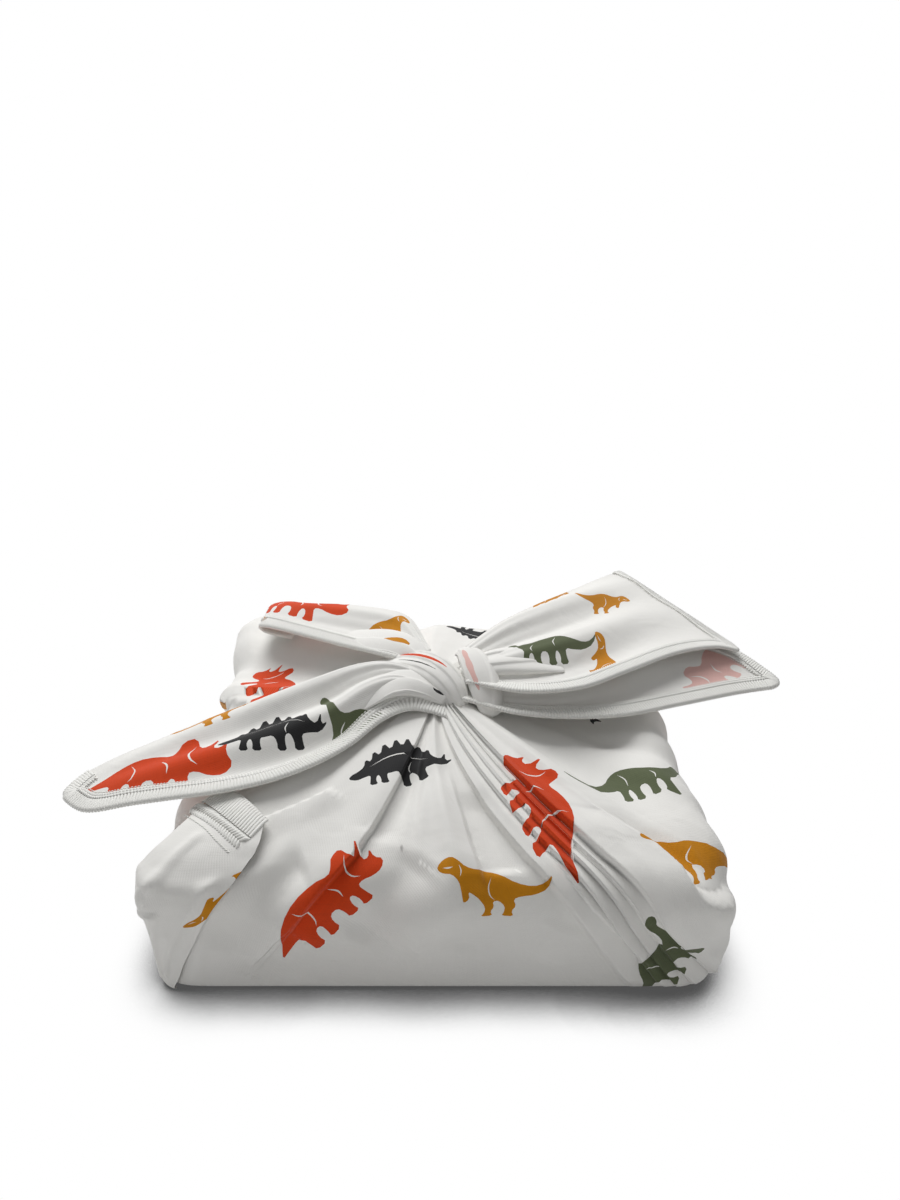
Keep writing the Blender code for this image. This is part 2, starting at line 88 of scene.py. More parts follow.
# A fold's place round the pack at the neck, rim and foot, its height and width in millimetres, its lean (0 a soft
# ridge, +1 or -1 a pleat whose steep side faces up or down the numbers) and how much of it is left at the foot.
Fold = namedtuple("Fold", "neck rim foot height width lean foot_share")
FOLDS = (
    Fold(-1.16, -1.03, -1.02, 2.7, 17.3, 0, 0.00),
    Fold(-0.74, -0.58, -0.84, 2.4, 10.0, 0, 0.20),
    Fold(-0.17, -0.33, -0.73, 3.7, 15.0, 1, 0.00),
    Fold(-0.06, 0.03, -0.10, 3.0, 13.0, 0, 0.10),
    Fold(0.05, 0.375, 0.755, 3.0, 12.0, -1, 1.00),
    Fold(0.17, 0.487, 0.866, 2.7, 8.7, -1, 1.00),
    Fold(0.28, 0.545, 0.925, 2.4, 7.3, -1, 1.00),
    Fold(0.37, 0.600, 0.985, 2.4, 7.3, -1, 1.00),
    Fold(0.47, 0.660, 1.100, 4.3, 12.0, -1, 0.60),
    Fold(0.78, 1.000, 1.180, 2.6, 18.7, 0, 0.20),
    Fold(1.62, 1.52, 1.44, 2.0, 14.7, 0, 0.10),
    Fold(2.20, 2.28, 2.70, 3.0, 14.7, -1, 0.80),
    Fold(2.72, 2.64, 2.84, 2.7, 12.0, 0, 0.40),
    Fold(3.16, 2.98, 2.96, 5.3, 22.7, -1, 0.00),
    Fold(3.62, 3.48, 3.16, 3.2, 13.3, 1, 0.90),
    Fold(4.10, 3.96, 3.90, 3.2, 14.7, 0, 0.20),
    Fold(4.44, 4.54, 4.84, 3.2, 13.3, -1, 0.90),
    Fold(5.06, 4.98, 5.00, 4.7, 18.7, 0, 0.00),
    Fold(5.36, 5.30, 5.22, 5.3, 17.3, 0, 0.20),
    Fold(5.84, 5.74, 5.40, 3.0, 13.3, 1, 0.70),
    Fold(6.36, 6.36, 6.30, 3.0, 14.7, 0, 0.30),
)
# In widths of the fold: a pleat's steep edge, the same for one along a path, and a pleat's long back.
PLEAT_EDGE, PATH_EDGE, PLEAT_REACH = 0.10, 0.24, 1.6
# How much of a fold's height is left at the neck, and how far above the foot the folds begin and are whole.
NECK_SHARE = 0.45
FOLDS_BEGIN, FOLDS_WHOLE = 0.05, 0.22
# The top edge's round narrows to the corner's between these places, from a side's middle 0 to its corner 1.
NARROWING = (0.50, 0.92)
FOLD_RIMS = np.array([fold.rim for fold in FOLDS] + [FOLDS[0].rim + ROUND_TRIP])
TO_NECK = np.array([fold.neck - fold.rim for fold in FOLDS + FOLDS[:1]])
TO_FOOT = np.array([fold.foot - fold.rim for fold in FOLDS + FOLDS[:1]])

# How the top of the wrap rises to the neck, by place: 0 is a straight tent, more is fuller, less lies lower.
RISE_PLACES = (0.00, 0.85, 1.10, 2.90, 3.10, 5.60, 6.20, 7.10, 8.00)
RISE_FULLNESS = (0.42, 0.42, -0.70, -0.70, 0.00, 0.18, -0.30, 0.10, 0.42)

# Small creases pressed in beside the main folds: place at the rim, middle and reach up the wrap, height and width
# in millimetres.
Crease = namedtuple("Crease", "column up reach height width")
CREASES = (
    Crease(-1.00, 1.80, 0.13, 2.0, 4.0),
    Crease(-0.90, 1.55, 0.10, 0.9, 6.0),
    Crease(-0.74, 1.55, 0.60, 1.6, 8.0),
    Crease(-0.14, 2.45, 0.30, 0.9, 2.5),
    Crease(-0.06, 2.30, 0.25, 1.0, 3.5),
    Crease(0.07, 2.15, 0.40, 1.1, 4.0),
    Crease(0.28, 1.30, 0.25, 0.8, 6.0),
    Crease(0.44, 2.25, 0.30, 0.7, 2.5),
    Crease(0.74, 1.45, 0.35, 0.8, 4.0),
    Crease(0.88, 1.40, 0.26, 4.4, 14.0),
    Crease(1.20, 1.60, 0.40, 0.9, 6.0),
    Crease(1.42, 1.70, 0.40, 1.1, 5.0),
    Crease(1.80, 1.90, 0.40, 1.0, 6.0),
    Crease(2.10, 1.60, 0.35, 0.9, 5.0),
    Crease(2.80, 1.50, 0.35, 0.9, 6.0),
    Crease(3.30, 1.80, 0.40, 1.1, 5.0),
    Crease(3.75, 1.70, 0.40, 1.0, 6.0),
    Crease(4.02, 2.20, 0.35, 0.9, 4.0),
    Crease(5.12, 1.80, 0.40, 0.9, 5.0),
    Crease(5.55, 1.80, 0.40, 1.1, 5.0),
    Crease(6.05, 1.70, 0.40, 0.9, 6.0),
    Crease(6.80, 2.30, 0.30, 0.9, 4.0),
)

# Folds that run free of the columns, each along a path of places: around and up. Lean 0 is a soft ridge, or a
# hollow if the height is below nought; +1 or -1 is a step whose long back lies left or right of the path.
PathFold = namedtuple("PathFold", "height width lean path")
PATH_FOLDS = (
    PathFold(4.8, 12.0, -1, ((0.80, 2.50), (0.84, 2.23), (0.885, 2.13), (0.876, 2.02), (0.87, 1.94), (0.895, 1.875),
                             (0.956, 1.83), (1.04, 1.80), (1.14, 1.78))),
    PathFold(-3.4, 7.0, 0, ((0.93, 2.34), (0.96, 2.16), (0.97, 2.04), (0.98, 1.96), (1.06, 1.90), (1.20, 1.88))),
    PathFold(4.6, 15.0, 0, ((1.02, 1.93), (1.30, 1.93), (1.65, 1.94), (2.00, 1.94), (2.40, 1.94), (2.90, 1.94))),
    PathFold(1.4, 7.0, 0, ((0.66, 2.30), (0.72, 2.05), (0.78, 1.85), (0.86, 1.66), (0.93, 1.50))),
    PathFold(2.4, 9.0, -1, ((0.08, 2.55), (0.131, 2.216), (0.145, 2.07), (0.164, 1.93), (0.17, 1.80))),
    PathFold(-1.6, 7.0, 0, ((0.20, 2.40), (0.23, 2.20), (0.26, 2.02), (0.27, 1.90))),
    PathFold(1.1, 4.0, 1, ((0.46, 2.05), (0.507, 1.85), (0.541, 1.76), (0.644, 1.567), (0.724, 1.42), (0.80, 1.26))),
    PathFold(1.6, 5.5, -1, ((7.62, 1.92), (7.55, 1.72), (7.47, 1.56), (7.40, 1.40), (7.34, 1.25))),
    PathFold(1.5, 10.0, 1, ((7.36, 2.39), (7.323, 2.356), (7.22, 2.30), (7.158, 2.25), (7.12, 2.22))),
    PathFold(-2.6, 6.5, 0, ((7.50, 1.98), (7.467, 1.927), (7.40, 1.79), (7.30, 1.58), (7.22, 1.42))),
    PathFold(1.4, 6.0, 0, ((7.62, 1.60), (7.52, 1.42), (7.44, 1.27))),
    PathFold(-3.0, 7.5, 0, ((7.96, 2.02), (7.907, 1.92), (7.84, 1.79), (7.76, 1.59), (7.70, 1.46))),
    PathFold(1.4, 8.0, 0, ((8.14, 1.86), (8.05, 1.68), (7.96, 1.50), (7.90, 1.36))),
    PathFold(-1.3, 6.0, 0, ((7.56, 1.47), (7.53, 1.418), (7.404, 1.168), (7.37, 1.10))),
    PathFold(-1.2, 8.0, 0, ((8.30, 1.86), (8.20, 1.66), (8.14, 1.50), (8.10, 1.36))),
    PathFold(1.2, 7.0, 0, ((8.47, 1.62), (8.42, 1.46), (8.36, 1.30))),
    PathFold(-1.5, 6.5, 0, ((7.88, 2.55), (7.83, 2.38), (7.76, 2.22), (7.74, 2.08))),
    PathFold(2.2, 12.0, 1, ((2.52, 2.40), (2.50, 2.10), (2.55, 1.80), (2.68, 1.45), (2.80, 1.20))),
    PathFold(-1.6, 7.0, 0, ((1.75, 2.40), (1.72, 2.10), (1.66, 1.80), (1.60, 1.50))),
    PathFold(1.8, 7.0, 0, ((2.02, 2.30), (2.04, 1.95), (2.08, 1.65), (2.10, 1.40))),
    PathFold(2.4, 12.0, -1, ((3.72, 2.50), (3.66, 2.15), (3.52, 1.80), (3.36, 1.45), (3.26, 1.20))),
    PathFold(-1.8, 8.0, 0, ((4.22, 2.40), (4.24, 2.05), (4.28, 1.75), (4.32, 1.45))),
    PathFold(2.2, 12.0, 1, ((4.66, 2.40), (4.74, 2.05), (4.86, 1.70), (4.94, 1.35))),
    PathFold(2.4, 12.0, -1, ((5.98, 2.50), (5.90, 2.15), (5.72, 1.80), (5.54, 1.45))),
    PathFold(-1.8, 7.0, 0, ((6.14, 2.40), (6.10, 2.05), (6.04, 1.75), (5.98, 1.45))),
    PathFold(1.6, 7.0, 0, ((6.56, 2.30), (6.52, 2.00), (6.50, 1.70), (6.44, 1.40))),
)
# A path is drawn through this many points, its fold fades over this share of it at each end, and the fold is worked
# out within this many of its widths and this much more of the way round.
PATH_POINTS, PATH_FADE, PATH_WIDTHS, PATH_SPARE = 12, 0.22, 2.6, 0.1

# Sections across a leaf from its root in the knot to its end, in millimetres: near edge, far edge, crown and
# ripple height.
Section = namedtuple("Section", "near far crown ripple")
LEAVES = {
    "left": (
        Section((5.0, -20.5, 57.5), (-4.0, -3.0, 66.0), 0.0, 0.4),
        Section((-3.0, -19.8, 59.5), (-12.0, 1.0, 67.3), 3.2, 0.9),
        Section((-10.5, -20.0, 59.8), (-22.0, 3.0, 67.0), 5.0, 1.2),
        Section((-19.0, -25.0, 58.0), (-33.0, 2.5, 65.7), 4.8, 1.8),
        Section((-28.5, -35.5, 55.0), (-44.0, 0.0, 64.3), 3.4, 2.3),
        Section((-39.0, -45.0, 54.0), (-54.0, -4.0, 62.5), 3.3, 2.3),
        Section((-52.5, -52.5, 53.2), (-66.0, -9.5, 60.0), 3.2, 2.0),
        Section((-68.0, -56.4, 52.4), (-80.0, -16.0, 56.7), 2.7, 1.4),
        Section((-84.0, -57.2, 51.0), (-95.0, -24.0, 53.0), 2.0, 0.8),
        Section((-97.0, -57.2, 49.2), (-105.5, -29.5, 50.5), 1.2, 0.4),
        Section((-109.0, -57.4, 47.2), (-114.0, -35.5, 48.6), 0.4, 0.1),
        Section((-119.5, -53.5, 46.0), (-122.7, -43.7, 46.7), 0.0, 0.0),
    ),
    "right": (
        Section((9.3, -13.3, 60.7), (10.7, -1.3, 61.3), 0.0, 0.7),
        Section((26.7, -20.0, 58.7), (28.0, -2.0, 60.0), 1.3, 1.3),
        Section((45.3, -18.7, 56.0), (50.0, 6.0, 58.6), 1.6, 1.3),
        Section((66.7, -12.7, 53.3), (73.0, 24.0, 58.4), 1.6, 1.1),
        Section((89.3, -2.7, 52.0), (97.0, 40.0, 57.8), 1.0, 0.7),
        Section((113.3, 7.3, 51.3), (117.5, 35.0, 56.6), 0.5, 0.3),
        Section((130.7, 11.3, 52.0), (132.2, 15.8, 52.7), 0.0, 0.0),
    ),
    "back_right": (
        Section((10.7, -9.3, 65.3), (6.7, 10.7, 67.3), 0.0, 0.8),
        Section((30.7, -16.0, 64.0), (24.0, 36.0, 68.7), 2.7, 2.0),
        Section((51.3, -11.3, 62.7), (41.3, 57.3, 67.3), 3.3, 2.3),
        Section((70.7, 2.7, 62.0), (57.3, 74.7, 65.3), 2.7, 2.0),
        Section((92.0, 18.0, 62.0), (72.7, 92.0, 62.7), 2.0, 1.1),
        Section((109.3, 25.3, 61.3), (82.7, 102.7, 60.7), 0.7, 0.5),
        Section((121.3, 26.7, 58.7), (86.7, 106.7, 58.7), 0.0, 0.0),
    ),
    "back_left": (
        Section((-6.7, 4.0, 65.3), (-2.7, 14.7, 67.3), 0.0, 0.8),
        Section((-18.7, 9.3, 64.7), (-13.3, 46.7, 67.3), 2.0, 2.0),
        Section((-36.0, 18.7, 64.0), (-32.7, 56.0, 66.7), 2.7, 1.9),
        Section((-52.0, 29.3, 63.3), (-52.0, 61.3, 64.7), 2.7, 1.3),
        Section((-66.0, 38.7, 62.7), (-65.3, 66.7, 62.7), 2.0, 0.7),
        Section((-74.0, 46.7, 60.0), (-73.3, 68.7, 60.0), 0.7, 0.3),
        Section((-72.0, 48.0, 56.7), (-71.3, 68.7, 56.7), 0.0, 0.3),
        Section((-61.3, 45.3, 55.3), (-60.0, 66.0, 55.3), 0.0, 0.3),
    ),
}
LEAF_RIPPLES = {"left": 2.5, "right": 1.5, "back_right": 2.5, "back_left": 1.5}
LEAF_GRIDS = {"left": (120, 52), "right": (92, 36), "back_right": (92, 64), "back_left": (76, 40)}
# Fine gathers at a leaf's root: gathers to a ripple, shift in gathers, height, and where they fade along the leaf.
GATHERS, GATHER_SHIFT, GATHER_HEIGHT, GATHER_FADE = 4.3, 0.3, 0.22 * MM, (0.1, 0.6)
# How much of a leaf's length and width its rounded end takes.
LEAF_ENDS = {"left": (0.07, 0.5), "right": (0.03, 0.5), "back_right": (0.05, 0.16), "back_left": (0.0, 0.0)}
# The flat sheet each leaf is cut from: width, length and area share of that rectangle.
LEAF_FLATS = {
    "left": (0.052, 0.136, 0.72),
    "right": (0.042, 0.132, 0.66),
    "back_right": (0.092, 0.142, 0.74),
    "back_left": (0.042, 0.098, 0.76),
}

# Stations along a strap of the knot, in millimetres: centre, half width and half depth.
Station = namedtuple("Station", "centre half_width half_depth")
STRAPS = {
    "band": (
        Station((-21.0, 13.0, 59.0), 4.0, 1.6),
        Station((-15.0, 9.0, 64.2), 7.2, 2.0),
        Station((-7.5, 3.5, 67.2), 8.2, 2.4),
        Station((-0.5, -2.5, 67.2), 7.6, 2.4),
        Station((5.5, -8.5, 63.8), 6.2, 2.2),
        Station((9.5, -14.0, 57.5), 3.0, 1.6),
    ),
    "petal": (
        Station((10.0, 19.0, 60.0), 2.4, 1.6),
        Station((10.6, 13.0, 65.4), 3.6, 2.2),
        Station((12.6, 5.5, 68.2), 5.0, 2.6),
        Station((15.4, -3.0, 67.0), 6.0, 2.8),
        Station((18.0, -11.0, 62.4), 5.6, 2.6),
        Station((19.5, -17.5, 56.5), 3.4, 1.8),
    ),
    "left_gather": (
        Station((4.0, -12.0, 60.0), 4.0, 1.8),
        Station((-3.0, -10.0, 64.0), 6.4, 2.4),
        Station((-11.0, -8.5, 65.8), 8.6, 2.6),
        Station((-20.0, -9.0, 64.6), 9.6, 2.2),
        Station((-31.0, -13.0, 60.4), 8.6, 1.0),
    ),
    "right_gather": (
        Station((8.0, -1.3, 64.0), 4.0, 2.6),
        Station((18.7, 2.0, 66.7), 7.3, 3.2),
        Station((30.7, 6.3, 66.3), 10.0, 2.6),
        Station((44.7, 11.7, 64.0), 10.7, 0.8),
    ),
    "back_gather": (
        Station((-2.7, 3.3, 64.0), 4.0, 2.6),
        Station((-11.0, 13.7, 66.3), 7.3, 3.2),
        Station((-22.0, 22.0, 66.3), 9.7, 2.4),
        Station((-36.7, 30.7, 64.3), 9.3, 0.8),
    ),
}
STRAP_PLEATS = {"band": 9, "petal": 4, "left_gather": 7, "right_gather": 7, "back_gather": 7}
# A strap's pleats: their height as a share of the strap's depth, the share of a pleat that is its steep side, and
# how far and how fast they wander round the strap on the way along it.
STRAP_PLEAT, STRAP_EDGE = 0.24, 0.16
STRAP_WANDER, STRAP_TURNS = 0.35, 2.5
# The share of its length in which each end of a strap closes, and the step by which its heading is taken.
STRAP_CLOSE, STRAP_STEP = 0.04, 0.01
STRAP_GRID = (56, 110)
CORE_CENTRE = (0.0015, -0.0010, 0.0590)
CORE_HALF_SIZE = (0.0145, 0.0140, 0.0048)

# The corner flap lies over the front left corner, from the foot up to its overlocked end on top.
FlapRow = namedtuple("FlapRow", "left_up left right_up right")
FLAP_ROWS = (
    FlapRow(1.03, 6.975, 1.03, 7.030),
    FlapRow(1.18, 6.945, 1.18, 7.082),
    FlapRow(1.36, 6.930, 1.36, 7.125),
    FlapRow(1.54, 6.915, 1.54, 7.176),
    FlapRow(1.70, 6.905, 1.71, 7.224),
    FlapRow(1.84, 6.900, 1.87, 7.288),
    FlapRow(1.96, 6.895, 2.00, 7.304),
    FlapRow(2.05, 6.850, 2.06, 7.292),
    FlapRow(2.11, 6.785, 2.11, 7.270),
    FlapRow(2.16, 6.715, 2.22, 7.205),
)
# Folds pressed into the flap, from one place along and across it to another: height and width in millimetres.
FlapCrease = namedtuple("FlapCrease", "start end height width")
FLAP_CREASES = (
    FlapCrease((0.60, 0.02), (0.60, 0.34), 0.9, 1.8),
    FlapCrease((0.60, 0.34), (0.57, 0.80), 0.9, 1.8),
    FlapCrease((0.60, 0.34), (0.74, 0.34), 0.8, 1.8),
    FlapCrease((0.44, 0.10), (0.47, 0.42), 0.7, 1.6),
    FlapCrease((0.47, 0.42), (0.10, 0.40), 0.8, 1.7),
    FlapCrease((0.57, 0.80), (0.14, 0.62), 0.9, 2.0),
)
# The flap's height above the wrap where it follows it and at the edges where it is drawn taut, and its crown there.
FLAP_LIFT, FLAP_RAISE, FLAP_CROWN = 0.0016, 0.0046, 0.0014
# How much of the wrap's folds shows through it, and the shares of its length between which it becomes taut.
FLAP_FOLLOWS, FLAP_TAUTENS = 0.55, (0.50, 0.82)
FLAP_SIZE = np.array((0.068, 0.026))
FLAP_GRID = (76, 40)

# The rows of the wrap's grid up its profile, and its columns.
WRAP_ROWS = np.concatenate([
    np.linspace(0.0, 0.92, 10, endpoint=False),
    np.linspace(0.92, 1.10, 6, endpoint=False),
    np.linspace(1.10, 1.66, 20, endpoint=False),
    np.linspace(1.66, 2.12, 23, endpoint=False),
    np.linspace(2.12, 3.0, 37),
])
WRAP_SEAM = 5.13
WRAP_COLUMNS = np.concatenate([
    np.linspace(WRAP_SEAM - ROUND_TRIP, -1.2, 66, endpoint=False),
    np.linspace(-1.2, 1.2, 238, endpoint=False),
    np.linspace(1.2, WRAP_SEAM, 158),
])

# Outlines of the printed animals: one unit long, nose to the left, feet at 0.
MOTIFS = {
    "strider": (
        (0.00, 0.36), (0.05, 0.41), (0.12, 0.43), (0.18, 0.41), (0.25, 0.37), (0.34, 0.36), (0.45, 0.38),
        (0.56, 0.36), (0.68, 0.30), (0.82, 0.28), (0.93, 0.32), (1.00, 0.38), (0.94, 0.27), (0.82, 0.21),
        (0.70, 0.19), (0.64, 0.16), (0.66, 0.10), (0.62, 0.05), (0.64, 0.00), (0.54, 0.00), (0.56, 0.03),
        (0.57, 0.09), (0.52, 0.14), (0.47, 0.13), (0.48, 0.08), (0.45, 0.04), (0.47, 0.00), (0.37, 0.00),
        (0.40, 0.03), (0.41, 0.08), (0.36, 0.15), (0.30, 0.19), (0.27, 0.20), (0.28, 0.15), (0.23, 0.12),
        (0.22, 0.16), (0.21, 0.21), (0.19, 0.27), (0.13, 0.31), (0.06, 0.31), (0.01, 0.33),
    ),
    "horned": (
        (0.00, 0.17), (0.04, 0.22), (0.03, 0.29), (0.07, 0.25), (0.11, 0.27), (0.08, 0.39), (0.14, 0.31),
        (0.18, 0.33), (0.20, 0.42), (0.27, 0.42), (0.30, 0.35), (0.33, 0.32), (0.42, 0.36), (0.55, 0.37),
        (0.68, 0.33), (0.80, 0.25), (0.91, 0.17), (1.00, 0.10), (0.90, 0.12), (0.79, 0.14), (0.73, 0.13),
        (0.74, 0.06), (0.76, 0.00), (0.66, 0.00), (0.65, 0.07), (0.62, 0.12), (0.58, 0.11), (0.59, 0.05),
        (0.61, 0.00), (0.52, 0.00), (0.51, 0.07), (0.48, 0.12), (0.42, 0.12), (0.41, 0.06), (0.43, 0.00),
        (0.34, 0.00), (0.34, 0.06), (0.32, 0.12), (0.29, 0.11), (0.28, 0.05), (0.30, 0.00), (0.21, 0.00),
        (0.22, 0.07), (0.23, 0.14), (0.19, 0.15), (0.12, 0.12), (0.05, 0.12),
    ),
    "long_neck": (
        (0.00, 0.42), (0.03, 0.46), (0.08, 0.46), (0.11, 0.42), (0.14, 0.34), (0.20, 0.27), (0.28, 0.27),
        (0.38, 0.31), (0.50, 0.32), (0.60, 0.28), (0.70, 0.20), (0.82, 0.15), (0.92, 0.16), (1.00, 0.22),
        (0.93, 0.12), (0.80, 0.09), (0.68, 0.11), (0.60, 0.13), (0.60, 0.06), (0.62, 0.00), (0.53, 0.00),
        (0.54, 0.07), (0.51, 0.12), (0.49, 0.11), (0.48, 0.05), (0.50, 0.00), (0.41, 0.00), (0.42, 0.07),
        (0.40, 0.12), (0.34, 0.12), (0.33, 0.06), (0.35, 0.00), (0.26, 0.00), (0.27, 0.07), (0.25, 0.12),
        (0.22, 0.11), (0.21, 0.05), (0.23, 0.00), (0.14, 0.00), (0.16, 0.08), (0.17, 0.16), (0.11, 0.24),
        (0.08, 0.33), (0.06, 0.38), (0.02, 0.39),
    ),
    "plated": (
        (0.00, 0.10), (0.03, 0.14), (0.09, 0.16), (0.15, 0.20), (0.17, 0.28), (0.22, 0.24), (0.25, 0.36),
        (0.31, 0.29), (0.35, 0.43), (0.42, 0.33), (0.47, 0.46), (0.53, 0.34), (0.59, 0.44), (0.63, 0.31),
        (0.69, 0.37), (0.72, 0.26), (0.77, 0.29), (0.79, 0.20), (0.87, 0.16), (0.93, 0.25), (0.92, 0.16),
        (1.00, 0.18), (0.91, 0.11), (0.78, 0.11), (0.72, 0.10), (0.73, 0.05), (0.75, 0.00), (0.66, 0.00),
        (0.65, 0.06), (0.61, 0.11), (0.57, 0.10), (0.57, 0.05), (0.59, 0.00), (0.51, 0.00), (0.50, 0.06),
        (0.46, 0.10), (0.40, 0.09), (0.36, 0.09), (0.36, 0.04), (0.38, 0.00), (0.30, 0.00), (0.30, 0.05),
        (0.28, 0.09), (0.26, 0.08), (0.25, 0.04), (0.27, 0.00), (0.19, 0.00), (0.20, 0.06), (0.20, 0.10),
        (0.14, 0.09), (0.07, 0.07),
    ),
}
MOTIF_MIDDLE = (0.5, 0.2)
MOTIF_SIZES = {"strider": 0.95, "horned": 1.22, "long_neck": 1.12, "plated": 1.0}
# Thin unprinted lines inside the animals, each drawn through LINE_POINTS points and widest in its middle.
MOTIF_LINES = {
    "strider": (
        ((0.47, 0.33), (0.44, 0.25), (0.45, 0.18), (0.49, 0.14)),
        ((0.19, 0.38), (0.21, 0.34), (0.20, 0.30)),
        ((0.05, 0.35), (0.10, 0.35), (0.14, 0.36)),
    ),
    "horned": (
        ((0.20, 0.36), (0.23, 0.29), (0.22, 0.22), (0.18, 0.18)),
        ((0.60, 0.33), (0.56, 0.25), (0.57, 0.17), (0.60, 0.13)),
        ((0.38, 0.27), (0.34, 0.21), (0.34, 0.15)),
    ),
    "long_neck": (
        ((0.52, 0.28), (0.48, 0.22), (0.49, 0.15)),
        ((0.27, 0.23), (0.24, 0.18), (0.25, 0.13)),
    ),
    "plated": (
        ((0.20, 0.19), (0.38, 0.26), (0.56, 0.26), (0.76, 0.18)),
        ((0.60, 0.21), (0.57, 0.15), (0.58, 0.11)),
    ),
}
LINE_POINTS, LINE_HALF_WIDTH = 9, 0.0055
INK_NAMES = ("orange", "mustard", "olive", "charcoal")
SLOT_INKS = [None, *INK_NAMES, *(ink + "_reverse" for ink in INK_NAMES)]
# The slot that shows each slot's print from the other side of the cloth.
OTHER_SIDE = np.array([0, *range(5, 9), *range(1, 5)])
INK_OF = {"horned": "orange", "strider": "mustard", "long_neck": "olive", "plated": "charcoal"}

# Where the animals are on the wrap's sides: side (0 the front, 1 the right, 2 the back, 3 the left), millimetres
# along it from its middle and up from the foot, turn in degrees, and 1 or -1 for the way it faces.
SidePrint = namedtuple("SidePrint", "motif side along climb turn facing")
SIDE_PRINTS = (
    SidePrint("horned", 0, -34.5, 37.5, 49.0, -1),
    SidePrint("strider", 0, 19.0, 43.0, -4.0, 1),
    SidePrint("long_neck", 0, 67.0, 17.5, 74.0, -1),
    SidePrint("horned", 0, -12.0, -9.0, 40.0, 1),
    SidePrint("plated", 0, -60.0, -9.0, -38.0, 1),
    SidePrint("horned", 0, 38.0, 68.0, -62.0, 1),
    SidePrint("plated", 0, -13.0, 86.0, 8.0, 1),
    SidePrint("long_neck", 1, -47.0, 65.0, -90.0, -1),
    SidePrint("horned", 1, -14.0, 20.0, 12.0, 1),
    SidePrint("strider", 1, 44.0, 27.0, -14.0, -1),
    SidePrint("plated", 1, 12.0, 60.0, 160.0, 1),
    SidePrint("plated", 1, -62.0, 12.0, 30.0, -1),
    SidePrint("horned", 1, 54.0, 68.0, 70.0, 1),
    SidePrint("long_neck", 1, 24.0, -9.0, 168.0, 1),
    SidePrint("horned", 2, -48.0, 24.0, -20.0, 1),
    SidePrint("long_neck", 2, 4.0, 28.0, 10.0, -1),
    SidePrint("strider", 2, 50.0, 18.0, 25.0, 1),
    SidePrint("plated", 2, -22.0, 60.0, -8.0, -1),
    SidePrint("horned", 2, 35.0, 62.0, 150.0, 1),
    SidePrint("strider", 2, -62.0, 62.0, 80.0, 1),
    SidePrint("plated", 2, 18.0, -6.0, 12.0, 1),
    SidePrint("strider", 3, -42.0, 30.0, 15.0, 1),
    SidePrint("long_neck", 3, 0.0, 18.0, -12.0, 1),
    SidePrint("plated", 3, 40.0, 21.0, 18.0, -1),
    SidePrint("horned", 3, -18.0, 64.0, 20.0, 1),
    SidePrint("strider", 3, 30.0, 68.0, -150.0, 1),
    SidePrint("horned", 3, 44.0, -7.0, 186.0, 1),
)
# The same for the underside: millimetres right and back of its middle.
FlatPrint = namedtuple("FlatPrint", "motif right back turn facing")
UNDERSIDE_PRINTS = (
    FlatPrint("strider", -34.0, -60.0, 20.0, 1),
    FlatPrint("long_neck", 34.0, -62.0, -16.0, -1),
    FlatPrint("horned", 2.0, -34.0, 8.0, 1),
    FlatPrint("plated", 60.0, -30.0, 74.0, 1),
    FlatPrint("strider", 62.0, 32.0, 98.0, -1),
    FlatPrint("long_neck", 33.0, 2.0, 84.0, 1),
    FlatPrint("horned", 32.0, 62.0, 168.0, 1),
    FlatPrint("plated", -34.0, 62.0, 190.0, -1),
    FlatPrint("strider", -2.0, 36.0, 176.0, 1),
    FlatPrint("horned", -61.0, 31.0, -82.0, 1),
    FlatPrint("long_neck", -62.0, -30.0, -100.0, -1),
    FlatPrint("plated", -34.0, 0.0, -88.0, 1),
)
# The same for the tent by the front right corner.
TOP_PRINTS = (FlatPrint("strider", 79.0, -76.0, 2.0, 1),)
# A print on the tent goes no farther in than this share of the way from the rim to the neck.
FARTHEST_IN = 0.97
# And for the leaves and the flap: shares along and across, and how the animal turns on the surface.
LeafPrint = namedtuple("LeafPrint", "motif along across turn facing")
LEAF_PRINTS = {
    "left": (
        LeafPrint("horned", 0.78, 0.42, 8.0, 1),
        LeafPrint("plated", 0.51, 0.44, 14.0, -1),
        LeafPrint("long_neck", 0.30, 0.10, 30.0, -1),
        LeafPrint("strider", 0.62, 0.90, 4.0, 1),
    ),
    "right": (
        LeafPrint("horned", 0.81, 0.66, 62.0, 1),
    ),
    "back_right": (
        LeafPrint("strider", 0.57, 0.67, -30.0, -1),
        LeafPrint("long_neck", 0.305, 0.39, -6.0, 1),
        LeafPrint("strider", 0.445, 0.12, -80.0, 1),
        LeafPrint("strider", 0.36, 1.00, -24.0, -1),
    ),
    "back_left": (
        LeafPrint("strider", 0.19, 0.36, -34.0, 1),
        LeafPrint("strider", 0.62, 0.06, 10.0, -1),
        LeafPrint("horned", 0.56, 0.74, 8.0, 1),
    ),
}
FLAP_PRINTS = (
    LeafPrint("strider", 0.56, 1.14, 62.0, 1),
    LeafPrint("strider", 0.92, -0.36, 70.0, -1),
)
